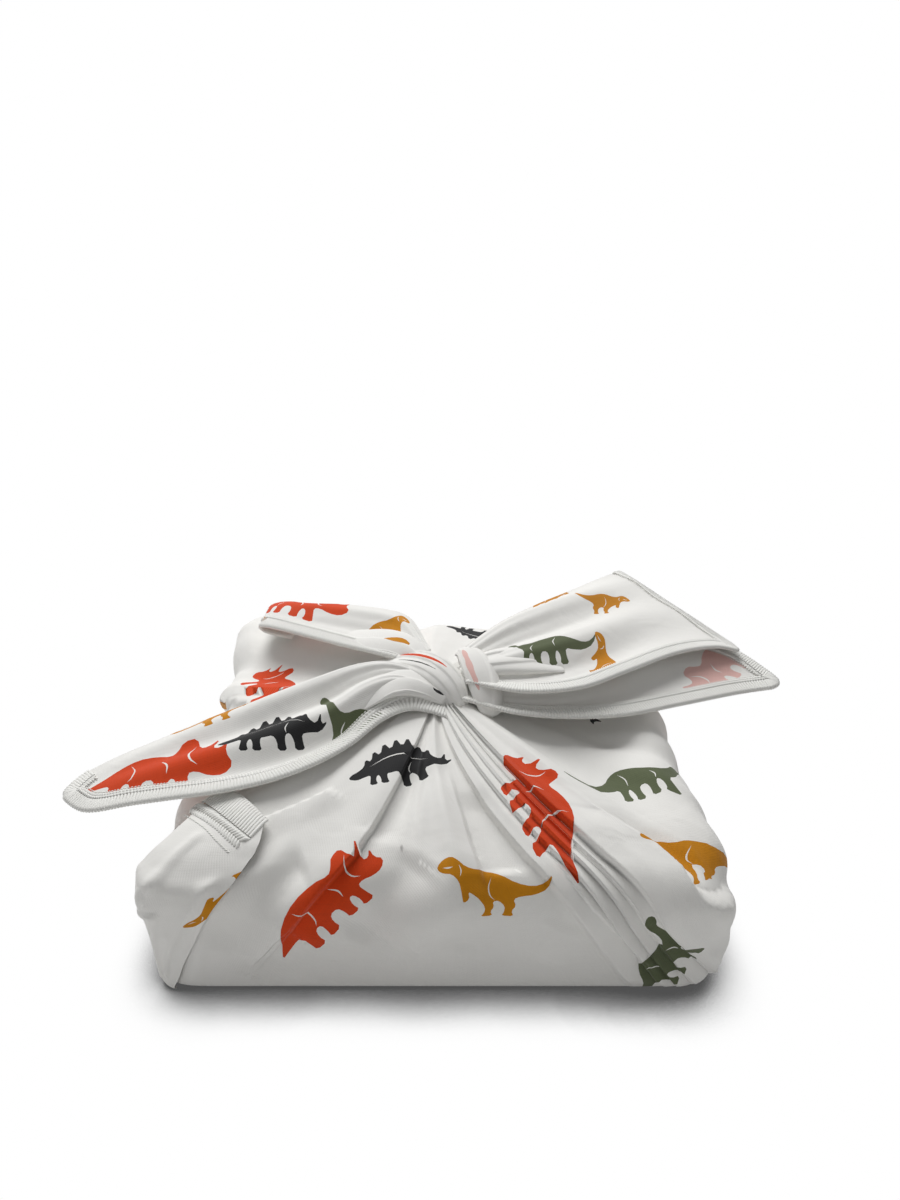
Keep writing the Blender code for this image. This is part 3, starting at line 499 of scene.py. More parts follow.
# Marks on the knot's straps, as loops of shares along and round each strap, with their ink: the orange, mustard and
# orange reverse bits are print that the knot's folds show, and the charcoal slivers are dark marks along the band and
# by the left gather's root.
STRAP_MARKS = {
    "band": (
        (((0.22, 0.50), (0.30, 0.475), (0.42, 0.485), (0.52, 0.50), (0.62, 0.53), (0.68, 0.55), (0.60, 0.555),
          (0.50, 0.545), (0.38, 0.53), (0.28, 0.525)), "orange"),
        (((0.26, 0.42), (0.40, 0.41), (0.56, 0.435), (0.66, 0.46), (0.52, 0.445), (0.38, 0.425)), "charcoal"),
    ),
    "petal": (
        (((0.34, 0.40), (0.42, 0.36), (0.50, 0.37), (0.56, 0.345), (0.64, 0.36), (0.74, 0.37), (0.80, 0.40),
          (0.72, 0.425), (0.64, 0.415), (0.58, 0.43), (0.50, 0.42), (0.42, 0.435)), "orange_reverse"),
    ),
    "left_gather": (
        (((0.06, 0.55), (0.12, 0.53), (0.16, 0.56), (0.22, 0.555), (0.18, 0.59), (0.10, 0.585)), "charcoal"),
    ),
    "right_gather": (),
    "back_gather": (
        (((0.30, 0.50), (0.42, 0.47), (0.52, 0.49), (0.62, 0.54), (0.50, 0.56), (0.38, 0.55)), "mustard"),
    ),
}
# The stretch of a leaf's rim that is overlocked: edge names in order.
LEAF_OVERLOCKS = {"left": "near end", "right": "near end far", "back_right": "near end", "back_left": "near"}

# The overlock's stitches as rows of points. A rib: millimetres in from the edge, height as a share of how high it
# lies on top of the cloth, step forward in pitches, and share of the thread's width.
RIB = (
    (3.0, -1.0, -0.22, 0.7), (0.7, -1.0, -0.22, 1.0), (-0.25, -0.55, -0.22, 1.05),
    (-0.25, 0.55, 0.22, 1.05), (0.7, 1.0, 0.22, 1.1), (4.4, 1.0, 0.22, 0.85),
)
# Half a link of the chain, and a needle stitch: step forward, height, and share of the thread's width.
CHAIN = ((-1.0, 0.5, 0.5), (0.0, 1.3, 1.0), (1.0, 0.5, 0.5))
NEEDLE = ((-0.45, -0.2, 0.2), (0.0, 0.7, 0.42), (0.45, -0.2, 0.2))
# In millimetres: how far in the chain and the needle line are, and how wide half of the chain is.
CHAIN_IN, NEEDLE_IN, CHAIN_HALF = 5.7, 7.4, 0.55
# How far a chain link's step is, in pitches.
CHAIN_STEP = 0.8
# How high the threads lie above the cloth, in their own half widths.
RIB_RISE, CHAIN_RISE, NEEDLE_RISE = 0.35, 0.4, 0.3
# Least and most that one round may stretch a step in from the edge.
STRETCH = (0.8, 1.25)
# Places along an edge where its length is measured, round a leaf's rim, and on the flap's end.
EDGE_PLACES, RIM_PLACES, END_PLACES = 1200, 400, 40

# How much of the weave the flap, a strap and the core show, in metres along and across.
FLAP_CLOTH, STRAP_CLOTH, CORE_CLOTH = (0.062, 0.04), (0.05, 0.05), (0.03, 0.05)

# The weave's noises: scale, detail and distortion of the slow change of tone and of the crumple, and the crumple's
# height in threads. Slubs are noise drawn out along one thread or the other.
TONE, CRUMPLE, CRUMPLE_HEIGHT = (28.0, 3.0), (62.0, 2.5, 0.8), 30.0
SLUB_ALONG, SLUB_ACROSS = 60.0, 2600.0
COTTON_ROUGHNESS, SLUB_ROUGHNESS = 0.74, 0.12
# How much the threads differ in tone on plain cotton, under ink, and where ink shows through.
PLAIN_CONTRAST, INK_CONTRAST, REVERSE_CONTRAST = 0.06, 0.35, 0.25

# The stage: the lights' places and sizes, the camera's place, and the floor.
TOP_LIGHT, FRONT_LIGHT = ((-0.25, 0.70, 1.02), 0.9), ((-0.4, -1.1, 0.34), 0.7)
LIT_HEIGHT = 0.05
CAMERA_PLACE = (0.00467, -0.28733, 0.228)
SENSOR_WIDTH = 36.0
FLOOR_RADIUS, FLOOR_SIDES = 6.0, 48


# Settings

class ClothSettings(bpy.types.PropertyGroup):
    """Sizes and colours of the cloth."""

    sheet_side: FloatProperty(
        name="Cloth side", description="Side of the square the cloth is cut to", default=0.5, min=0.3, unit="LENGTH"
    )
    thickness: FloatProperty(
        name="Thickness", description="Thickness of one layer of cloth", default=0.0005, min=0.0002, unit="LENGTH"
    )
    weave_pitch: FloatProperty(
        name="Weave pitch", description="Distance between threads", default=0.00042, min=0.0001, unit="LENGTH"
    )
    motif_length: FloatProperty(
        name="Motif length", description="Length of a printed animal", default=0.039, min=0.01, unit="LENGTH"
    )
    cotton: FloatVectorProperty(
        name="Cotton", description="Colour of the unprinted cotton", default=(0.83, 0.82, 0.79), subtype="COLOR"
    )
    orange: FloatVectorProperty(
        name="Orange ink", description="Colour of the orange print", default=(0.64, 0.052, 0.004), subtype="COLOR"
    )
    mustard: FloatVectorProperty(
        name="Mustard ink", description="Colour of the mustard print", default=(0.56, 0.22, 0.003), subtype="COLOR"
    )
    olive: FloatVectorProperty(
        name="Olive ink", description="Colour of the olive print", default=(0.105, 0.125, 0.065), subtype="COLOR"
    )
    charcoal: FloatVectorProperty(
        name="Charcoal ink", description="Colour of the charcoal print", default=(0.018, 0.018, 0.019),
        subtype="COLOR",
    )
    reverse_share: FloatProperty(
        name="Reverse print", description="How much of the print shows on the cloth's reverse", default=0.45,
        min=0.0, max=1.0, subtype="FACTOR",
    )


class ThreadSettings(bpy.types.PropertyGroup):
    """Sizes and colour of the overlocked edge."""

    pitch: FloatProperty(
        name="Stitch pitch", description="Distance between the overlock's stitches", default=0.00105, min=0.0005,
        unit="LENGTH",
    )
    thread: FloatProperty(
        name="Thread", description="Width of the bulky looper thread", default=0.00125, min=0.0002, unit="LENGTH"
    )
    colour: FloatVectorProperty(
        name="Thread colour", description="Colour of the overlock thread", default=(0.86, 0.855, 0.82),
        subtype="COLOR",
    )


class StageSettings(bpy.types.PropertyGroup):
    """The camera, the floor and the lights."""

    lens: FloatProperty(name="Lens", description="Focal length in millimetres", default=27.0, min=10.0)
    pitch: FloatProperty(
        name="Pitch", description="How far the camera looks down", default=math.radians(25.0), subtype="ANGLE"
    )
    key: FloatProperty(name="Top light", description="Power of the top light", default=14.5, unit="POWER")
    fill: FloatProperty(name="Front light", description="Power of the front light", default=0.7, unit="POWER")
    sky: FloatProperty(name="Surround", description="Strength of the white surround", default=0.28, min=0.0)


# Shapes

def smooth_step(low, high, value):
    """0 below low, 1 above high, and the smooth cubic 3t^2 - 2t^3 between."""
    share = np.clip((value - low) / (high - low), 0.0, 1.0)
    return share * share * (3.0 - 2.0 * share)


def arch(share):
    """0 at both edges and 1 in the middle: the parabola 4t(1 - t)."""
    return 4.0 * share * (1.0 - share)


def round_gap(place, other):
    """The signed way round the pack from other to place, the short way."""
    return (place - other + ROUND_TRIP / 2) % ROUND_TRIP - ROUND_TRIP / 2


def outline(around):
    """Point and outward normal of the plan outline: each side is x = t k, y = -k with k = (|t|^n + 1)^(-1/n)."""
    side = np.floor((around + 1.0) / 2.0)
    along = around - 2.0 * side
    turn = side * math.pi / 2
    scale = HALF * (np.abs(along) ** OUTLINE_POWER + 1.0) ** (-1.0 / OUTLINE_POWER)
    slope = np.sign(along) * np.abs(along) ** (OUTLINE_POWER - 1)
    length = np.hypot(slope, 1.0)
    cos, sin = np.cos(turn), np.sin(turn)
    return tuple(
        np.stack([x * cos - y * sin, x * sin + y * cos], axis=-1)
        for x, y in ((along * scale, -scale), (slope / length, -1.0 / length))
    )


def fold_drift(column, up):
    """How far a column has drifted from its place at the rim, along the folds: none at the rim, all at the ends."""
    wrapped = (column - FOLD_RIMS[0]) % ROUND_TRIP + FOLD_RIMS[0]
    to_neck = np.interp(wrapped, FOLD_RIMS, TO_NECK) * np.clip(up - RIM, 0.0, 1.0)
    to_foot = np.interp(wrapped, FOLD_RIMS, TO_FOOT) * np.clip(RIM - up, 0.0, 1.0)
    return to_neck + to_foot


def column_through(around, up):
    """The column that passes through a place, by halving an interval round it."""
    low, high = around - 1.0, around + 1.0
    for _ in range(HALVINGS):
        middle = 0.5 * (low + high)
        short = middle + fold_drift(middle, up) < around
        low, high = np.where(short, middle, low), np.where(short, high, middle)
    return 0.5 * (low + high)


def unrolled(around, up):
    """Places near 0 as metres on a flat strip: across it, and up it from the bottom edge."""
    on_top = np.clip(up - RIM, 0.0, 1.0)
    across = around * (HALF + (NECK_RADIUS * math.pi / 4 - HALF) * on_top)
    climb = np.where(up < FOOT, HALF, FULL_CLIMB) * (np.minimum(up, RIM) - FOOT)
    return across, climb + (HALF - NECK_RADIUS) * on_top


def path_height(around, up):
    """The sum of the path folds, each by the signed distance on the flat strip to the nearest part of its path."""
    total = np.zeros_like(up)
    for fold in PATH_FOLDS:
        path = smooth_rows(fold.path, np.linspace(0.0, 1.0, PATH_POINTS))
        middle = path[:, 0].mean()
        place = round_gap(around, middle)
        reach = PATH_WIDTHS * fold.width * MM / HALF
        near = (np.abs(place) < np.ptp(path[:, 0]) / 2 + reach + PATH_SPARE) & (up > path[:, 1].min() - reach)
        x, y = unrolled(place[near], up[near])
        px, py = unrolled(path[:, 0] - middle, path[:, 1])
        best, side, spot = np.full(x.shape, np.inf), np.zeros_like(x), np.zeros_like(x)
        for i, (ax, ay, bx, by) in enumerate(zip(px, py, px[1:], py[1:])):
            run = (bx - ax) ** 2 + (by - ay) ** 2
            share = np.clip(((x - ax) * (bx - ax) + (y - ay) * (by - ay)) / run, 0.0, 1.0)
            gap = np.hypot(x - ax - share * (bx - ax), y - ay - share * (by - ay))
            closer = gap < best
            best = np.where(closer, gap, best)
            side = np.where(closer, np.sign((bx - ax) * (y - ay) - (by - ay) * (x - ax)), side)
            spot = np.where(closer, (i + share) / (len(px) - 1), spot)
        gap = best / (fold.width * MM)
        ends = smooth_step(0.0, PATH_FADE, spot) * (1.0 - smooth_step(1.0 - PATH_FADE, 1.0, spot))
        if fold.lean:
            gap = gap * side * fold.lean
            shape = smooth_step(-PATH_EDGE, 0.0, gap) * (1.0 - smooth_step(0.0, PLEAT_REACH, gap))
        else:
            shape = np.exp(-gap * gap)
        total[near] += fold.height * MM * shape * ends
    return total


def above_foot(up):
    """How much of the folds there is by height: none at the foot, so that the underside stays flat."""
    return smooth_step(FOOT + FOLDS_BEGIN, FOOT + FOLDS_WHOLE, up)


def column_folds(column, up):
    """The sum of the folds and creases: a ridge is a bell curve across, a pleat a steep edge and a long back."""
    on_top = np.clip(up - RIM, 0.0, 1.0)
    down = np.clip(RIM - up, 0.0, 1.0)
    total = np.zeros_like(column)
    for fold in FOLDS:
        across = round_gap(column, fold.rim) * HALF / (fold.width * MM)
        if fold.lean:
            across = -across * fold.lean
            shape = smooth_step(-PLEAT_EDGE, 0.0, across) * (1.0 - smooth_step(0.0, PLEAT_REACH, across))
        else:
            shape = np.exp(-across * across)
        to_neck = 1.0 - (1.0 - NECK_SHARE) * on_top
        to_foot = 1.0 - (1.0 - fold.foot_share) * smooth_step(0.0, 1.0, down)
        total += fold.height * MM * shape * np.where(up >= RIM, to_neck, to_foot)
    for crease in CREASES:
        across = round_gap(column, crease.column) * HALF / (crease.width * MM)
        along = (up - crease.up) / crease.reach
        total += crease.height * MM * np.exp(-across * across - along * along)
    return total


def wrap_at(around, up, lift):
    """Points of the wrap: flat underneath, arcs at both edges, upright sides and a tent on top, then lifted."""
    points, normals = outline(around)
    to_corner = smooth_step(*NARROWING, np.abs(around - 2.0 * np.round(around / 2.0)))
    top_round = TOP_ROUND + (CORNER_ROUND - TOP_ROUND) * to_corner
    fullness = np.interp(around % ROUND_TRIP, RISE_PLACES, RISE_FULLNESS)
    slope = (NECK_HEIGHT - PACK_HEIGHT) * (1.0 + fullness) / (HALF - NECK_RADIUS)
    last_turn = math.pi / 2 - np.arctan(slope)
    bottom_arc, top_arc = BOTTOM_ROUND * math.pi / 2, top_round * last_turn
    upright = PACK_HEIGHT - BOTTOM_ROUND - top_round * np.sin(last_turn)
    climbed = np.clip(up - FOOT, 0.0, 1.0) * (bottom_arc + upright + top_arc)
    low_turn = np.clip(climbed / BOTTOM_ROUND, 0.0, math.pi / 2)
    high_turn = np.clip((climbed - bottom_arc - upright) / top_round, 0.0, last_turn)
    inward = BOTTOM_ROUND * (1.0 - np.sin(low_turn)) + top_round * (1.0 - np.cos(high_turn))
    height = (
        BOTTOM_ROUND * (1.0 - np.cos(low_turn))
        + np.clip(climbed - bottom_arc, 0.0, upright)
        + top_round * np.sin(high_turn)
    )
    taper = FOOT_SHARE + (1.0 - FOOT_SHARE) * np.clip(up - FOOT, 0.0, 1.0)
    scale = taper * (1.0 - inward / HALF) * np.clip(up, 0.0, 1.0)
    on_top = np.clip(up - RIM, 0.0, 1.0)
    angle = -math.pi / 2 + around * math.pi / 4
    neck = NECK_RADIUS * np.stack([np.cos(angle), np.sin(angle)], axis=-1)
    plan = points * (scale * (1.0 - on_top))[..., None] + neck * on_top[..., None]
    height = height + (NECK_HEIGHT - PACK_HEIGHT) * on_top * (1.0 + fullness * (1.0 - on_top))
    tilt = low_turn - math.pi / 2 + high_turn
    outward = normals * np.cos(tilt)[..., None]
    direction = np.concatenate([outward, np.sin(tilt)[..., None]], axis=-1)
    return np.concatenate([plan, height[..., None]], axis=-1) + direction * lift[..., None]


def wrap_surface(up, column):
    """The wrap with its folds, by height and by the column that runs along the folds."""
    around = column + fold_drift(column, up)
    return wrap_at(around, up, (column_folds(column, up) + path_height(around, up)) * above_foot(up))


def smooth_rows(rows, along):
    """A smooth curve through evenly numbered rows, as cubic pieces with slopes from the neighbours."""
    rows = np.asarray(rows, float)
    last = len(rows) - 1
    spot = np.clip(along, 0.0, 1.0) * last
    low = np.minimum(spot.astype(int), last - 1)
    t = (spot - low)[..., None]
    slopes = np.gradient(rows, axis=0)
    a, b = rows[low], rows[low + 1]
    slope_a, slope_b = slopes[low], slopes[low + 1]
    t2, t3 = t * t, t * t * t
    return (2 * t3 - 3 * t2 + 1) * a + (t3 - 2 * t2 + t) * slope_a + (3 * t2 - 2 * t3) * b + (t3 - t2) * slope_b


def leaf_surface(name):
    """A leaf: straight across between its two edge curves, plus a crown, ripples, and fine gathers at the root."""
    table = [(*row.near, *row.far, row.crown, row.ripple) for row in LEAVES[name]]

    def surface(along, across):
        """Points from shares along and across."""
        rows = MM * smooth_rows(table, along)
        near, far = rows[..., 0:3], rows[..., 3:6]
        crown, ripple = rows[..., 6], rows[..., 7]
        waves = np.cos(2 * math.pi * LEAF_RIPPLES[name] * across)
        gathers = np.sin(2 * math.pi * (GATHERS * LEAF_RIPPLES[name] * across + GATHER_SHIFT))
        gathers = gathers * (1.0 - smooth_step(*GATHER_FADE, along))
        points = near + (far - near) * across[..., None]
        points[..., 2] += crown * arch(across) + ripple * waves + GATHER_HEIGHT * gathers
        return points

    return surface


def flap_surface(along, across):
    """The corner flap: it follows the wrap a little above it, between its left and right edges, with ridges that
    are bell curves of the distance from the line of each crease."""
    rows = smooth_rows(FLAP_ROWS, along)
    up = rows[..., 0] + (rows[..., 2] - rows[..., 0]) * across
    around = rows[..., 1] + (rows[..., 3] - rows[..., 1]) * across
    lift = np.full_like(up, FLAP_LIFT)
    for crease in FLAP_CREASES:
        start, end = np.array(crease.start) * FLAP_SIZE, np.array(crease.end) * FLAP_SIZE
        way = end - start
        x, y = along * FLAP_SIZE[0] - start[0], across * FLAP_SIZE[1] - start[1]
        share = np.clip((x * way[0] + y * way[1]) / (way @ way), 0.0, 1.0)
        gap = np.hypot(x - share * way[0], y - share * way[1]) / (crease.width * MM)
        lift = lift + crease.height * MM * np.exp(-gap * gap)
    folds = column_folds(column_through(around, up), up) * above_foot(up)
    laid = wrap_at(around, up, FLAP_FOLLOWS * folds + lift)
    left, right = (wrap_at(rows[..., i + 1], rows[..., i], np.full_like(up, FLAP_RAISE)) for i in (0, 2))
    taut = left + (right - left) * across[..., None]
    taut[..., 2] += FLAP_CROWN * arch(across) + lift - FLAP_LIFT
    return laid + (taut - laid) * smooth_step(*FLAP_TAUTENS, along)[..., None]


def strap_surface(name):
    """A strap of the knot: an oval carried along a smooth path, with sharp pleats along it."""
    table = [(*row.centre, row.half_width, row.half_depth) for row in STRAPS[name]]
    pleats = STRAP_PLEATS[name]

    def path(along):
        """Centre, half width and half depth at a share along."""
        return MM * smooth_rows(table, along)

    def surface(along, turn):
        """Points from the share along and the share of a turn round, from the underside."""
        rows = path(along)
        ahead = (path(np.minimum(along + STRAP_STEP, 1.0)) - path(np.maximum(along - STRAP_STEP, 0.0)))[..., :3]
        ahead /= np.linalg.norm(ahead, axis=-1, keepdims=True)
        side = np.cross(ahead, (0.0, 0.0, 1.0))
        side /= np.linalg.norm(side, axis=-1, keepdims=True)
        above = np.cross(side, ahead)
        angle = 2 * math.pi * (turn - 0.25)
        phase = (pleats * turn + STRAP_WANDER * np.sin(STRAP_TURNS * along + pleats)) % 1.0
        ridge = smooth_step(0.0, STRAP_EDGE, phase) * (1.0 - smooth_step(STRAP_EDGE, 1.0, phase))
        ridges = 1.0 + STRAP_PLEAT * ridge
        close = np.sqrt(np.clip(np.minimum(along, 1.0 - along) / STRAP_CLOSE, 0.0, 1.0))
        wide = rows[..., 3] * np.cos(angle) * close
        deep = rows[..., 4] * np.sin(angle) * ridges * close
        return rows[..., :3] + side * wide[..., None] + above * deep[..., None]

    return surface


def core_surface(polar, turn):
    """The tight middle of the knot: a flattened ball that the straps and leaves run into."""
    angle, lean = 2 * math.pi * turn, math.pi * polar
    unit = np.stack([np.sin(lean) * np.cos(angle), np.sin(lean) * np.sin(angle), -np.cos(lean)], axis=-1)
    return np.array(CORE_CENTRE) + unit * np.array(CORE_HALF_SIZE)


def surface_frame(surface, u, v, step=1e-4):
    """Points, slopes along u and v and unit normals of a surface, by central differences."""
    along_u = (surface(u + step, v) - surface(u - step, v)) / (2 * step)
    along_v = (surface(u, v + step) - surface(u, v - step)) / (2 * step)
    normals = np.cross(along_v, along_u)
    size = np.linalg.norm(normals, axis=-1, keepdims=True)
    return surface(u, v), along_u, along_v, normals / np.maximum(size, TINY_LENGTH)


# Prints

def soften(points):
    """Cut each corner of a loop at a quarter of its sides."""
    ahead = np.roll(points, -1, axis=0)
    return np.stack([0.75 * points + 0.25 * ahead, 0.25 * points + 0.75 * ahead], axis=1).reshape(-1, 2)


def motif_loops(motif, size, turn, facing):
    """An animal's outline and its thin unprinted lines, as loops in metres about its middle."""
    def placed(points):
        """The points faced, sized, turned and moved to their middle."""
        points = (np.asarray(points) - MOTIF_MIDDLE) * size * MOTIF_SIZES[motif] * (facing, 1.0)
        cos, sin = math.cos(math.radians(turn)), math.sin(math.radians(turn))
        return points @ np.array(((cos, sin), (-sin, cos)))

    loops = [(placed(soften(np.array(MOTIFS[motif]))), INK_OF[motif])]
    for line in MOTIF_LINES[motif]:
        line = smooth_rows(line, np.linspace(0.0, 1.0, LINE_POINTS))
        ahead = np.gradient(line, axis=0)
        beside = np.stack([-ahead[:, 1], ahead[:, 0]], axis=1) / np.linalg.norm(ahead, axis=1, keepdims=True)
        width = LINE_HALF_WIDTH * np.sin(np.linspace(0.0, math.pi, LINE_POINTS))[:, None]
        edge = np.concatenate([line + beside * width, (line - beside * width)[-2:0:-1]])
        loops.append((placed(edge), None))
    return loops


def side_place(item, right, higher):
    """From a flat side panel of the cloth to up and around: straight up to the rim, then in along the tent.

    Beyond the rim a point satisfies along = (1 - t) h p + t n sin(p pi/4), with h the half width, n the neck's
    radius, p the place and t the share of the way in. It is solved by turns."""
    along, climb = item.along * MM + right, item.climb * MM + higher
    beyond = np.maximum(climb - FULL_CLIMB, 0.0)
    place = along / HALF
    share = np.zeros_like(along)
    for _ in range(TURNS):
        lean = place * math.pi / 4
        share = np.clip(beyond / (HALF - TOP_ROUND - NECK_RADIUS * np.cos(lean)), 0.0, FARTHEST_IN)
        place = (along - share * NECK_RADIUS * np.sin(lean)) / ((1.0 - share) * HALF)
    on_top = climb > FULL_CLIMB
    lower = FOOT + np.where(climb < 0.0, climb / HALF, climb / FULL_CLIMB)
    return np.where(on_top, RIM + share, lower), 2.0 * item.side + np.where(on_top, place, along / HALF)


def underside_place(item, right, back):
    """From a point of the flat underside to up and around, by the side that the whole loop is nearest."""
    right, back = item.right * MM + right, item.back * MM + back
    side = np.round((np.arctan2(right.mean(), -back.mean())) / (math.pi / 2))
    turn = -side * math.pi / 2
    along = right * math.cos(turn) - back * math.sin(turn)
    out = -(right * math.sin(turn) + back * math.cos(turn))
    place = along / out
    scale = (np.abs(place) ** OUTLINE_POWER + 1.0) ** (-1.0 / OUTLINE_POWER)
    return out / (FOOT_SHARE * (HALF - BOTTOM_ROUND) * scale), 2.0 * side + place


def top_place(item, right, back):
    """From a plan point of the tent to up and around, by the side whose middle each point is nearest. A point
    beyond the rim goes on down the side."""
    right, back = item.right * MM + right, item.back * MM + back
    side = np.round(np.arctan2(right, -back) / (math.pi / 2))
    turn = -side * math.pi / 2
    along = right * np.cos(turn) - back * np.sin(turn)
    out = -(right * np.sin(turn) + back * np.cos(turn))
    inner = HALF - CORNER_ROUND
    place = along / out
    for _ in range(TURNS):
        neck = NECK_RADIUS * np.cos(place * math.pi / 4)
        share = np.minimum((inner - out) / (inner - neck), FARTHEST_IN)
        place = (along - share * NECK_RADIUS * np.sin(place * math.pi / 4)) / ((1.0 - share) * inner)
    around = 2.0 * side + place
    share = np.where(share < 0.0, share * inner / FULL_CLIMB, share)
    return RIM + share, around[0] + round_gap(around, around[0])


def wrap_prints(size):
    """Every animal on the wrap as loops of up and column."""
    loops = []
    for items, place in ((TOP_PRINTS, top_place), (SIDE_PRINTS, side_place), (UNDERSIDE_PRINTS, underside_place)):
        for item in items:
            for points, ink in motif_loops(item.motif, size, item.turn, item.facing):
                up, around = place(item, *points.T)
                loops.append((np.stack([up, column_through(around, up)], axis=1), ink))
    return loops


def sheet_prints(items, surface, size):
    """Every animal on a leaf or the flap as loops of along and across, by the surface's own scale there."""
    loops = []
    for item in items:
        spot = np.array([item.along]), np.array([item.across])
        _, along_u, along_v, _ = surface_frame(surface, *spot)
        scale = np.array([np.linalg.norm(along_u), np.linalg.norm(along_v)])
        for points, ink in motif_loops(item.motif, size, item.turn, item.facing):
            loops.append((np.array([item.along, item.across]) + points / scale, ink))
    return loops


# Meshes

def cut_grid(shape, loops, rim=None):
    """Cut printed loops and a rim into a grid of unit cells.

    Returns points in cells, triangles, and each triangle's number in loops, -1 where it is in none."""
    rows, columns = shape
    down, right = np.mgrid[0:rows, 0:columns]
    points = np.stack([right.ravel(), down.ravel()], axis=1).astype(float)
    faces = []
    rings = [np.array(((0, 0), (columns - 1, 0), (columns - 1, rows - 1), (0, rows - 1)), float)]
    if rim is not None:
        rings = [rim[:, ::-1]]
    for ring in rings + [loop[:, ::-1] for loop in loops]:
        x, y = ring.T
        if (x * np.roll(y, -1) - y * np.roll(x, -1)).sum() < 0:  # the cutter fills a loop only anticlockwise
            ring = ring[::-1]
        faces.append(list(range(len(points), len(points) + len(ring))))
        points = np.concatenate([points, ring])
    corners, _, triangles, _, _, owners = delaunay_2d_cdt(points.tolist(), [], faces, 0, CUT_SAME, True)
    inside = np.array([0 in owner for owner in owners])
    corners, triangles = np.array([(p.y, p.x) for p in corners]), np.array(triangles, int)
    spans = [(-np.inf, -np.inf, np.inf, np.inf)] + [(*loop.min(axis=0), *loop.max(axis=0)) for loop in loops]
    number = []
    for (y, x), owner in zip(corners[triangles].mean(axis=1), owners):
        fits = [k for k in owner if spans[k][0] <= y <= spans[k][2] and spans[k][1] <= x <= spans[k][3]]
        number.append(max(fits, default=0) - 1)
    return corners, triangles[inside], np.array(number)[inside]


def reindexed(points, faces, *others):
    """Drop the points that no face uses."""
    used, numbers = np.unique(faces.ravel(), return_inverse=True)
    return (points[used], numbers.reshape(faces.shape), *(other[used] for other in others))


def closed_round(cells, faces, shape, poles):
    """Join a grid's last column to its first, and each end row that is a pole to one point."""
    target = np.arange(len(cells))
    first, last = (np.flatnonzero(np.abs(cells[:, 1] - column) < SAME) for column in (0, shape[1] - 1))
    target[last[np.argsort(cells[last, 0])]] = first[np.argsort(cells[first, 0])]
    for row in poles:
        ends = np.flatnonzero(np.abs(cells[:, 0] - row) < SAME)
        target[ends] = ends[0]
    faces = target[faces]
    a, b, c = faces.T
    return faces, (a != b) & (b != c) & (c != a)


def add_piece(name, materials, points, faces, normals=None, slots=None, uv=None):
    """A mesh object from arrays: points, triangles or quads, normals for each point, a material number for each
    face and UV for each face corner."""
    mesh = bpy.data.meshes.new(name)
    sides = faces.shape[1]
    mesh.vertices.add(len(points))
    mesh.vertices.foreach_set("co", points.astype(np.float32).ravel())
    mesh.loops.add(faces.size)
    mesh.loops.foreach_set("vertex_index", faces.astype(np.int32).ravel())
    mesh.polygons.add(len(faces))
    mesh.polygons.foreach_set("loop_start", np.arange(0, faces.size, sides, dtype=np.int32))
    mesh.polygons.foreach_set("use_smooth", np.ones(len(faces), bool))
    for material in materials:
        mesh.materials.append(material)
    if slots is not None:
        mesh.polygons.foreach_set("material_index", slots.astype(np.int32))
    if uv is not None:
        layer = mesh.uv_layers.new(name="cloth")
        layer.data.foreach_set("uv", uv.astype(np.float32).ravel())
    mesh.update(calc_edges=True)
    mesh.validate()
    if normals is not None:
        mesh.normals_split_custom_set_from_vertices(normals)
    piece = bpy.data.objects.new(name, mesh)
    bpy.context.scene.collection.objects.link(piece)
    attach(piece, BODY)
    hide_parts(CLOTH_NODE)
    return piece


def marks_to_cells(loops, rows, columns):
    """Loops of surface places as loops of grid cells, with their inks; one that crosses the seam comes twice."""
    trip, last = columns[-1] - columns[0], len(columns) - 1
    places = np.concatenate([columns[:-1] - trip, columns, columns[1:] + trip])
    cells = []
    for points, ink in loops:
        down = np.interp(points[:, 0], rows, np.arange(len(rows)))
        start = trip * np.floor((points[:, 1].mean() - columns[0]) / trip)
        for shift in (-trip, 0.0, trip):
            right = np.interp(points[:, 1] - start + shift, places, np.arange(-last, 2 * last + 1))
            if right.max() > 0 and right.min() < last:
                cells.append((np.stack([down, right], axis=1), ink))
    return cells


def face_inks(loops, owner):
    """The slot of each face from the ink of the loop that it is in, 0 where it is in none."""
    return np.array([SLOT_INKS.index(ink) for _, ink in loops] + [0])[owner]


def wound_outward(points, faces, normals, uv):
    """Faces and their UV, turned over where they wind against the normals."""
    a = points[faces]
    if (np.cross(a[:, 1] - a[:, 0], a[:, 2] - a[:, 0]) * normals[faces[:, 0]]).sum() > 0:
        return faces, uv
    return faces[:, ::-1], uv[:, ::-1]


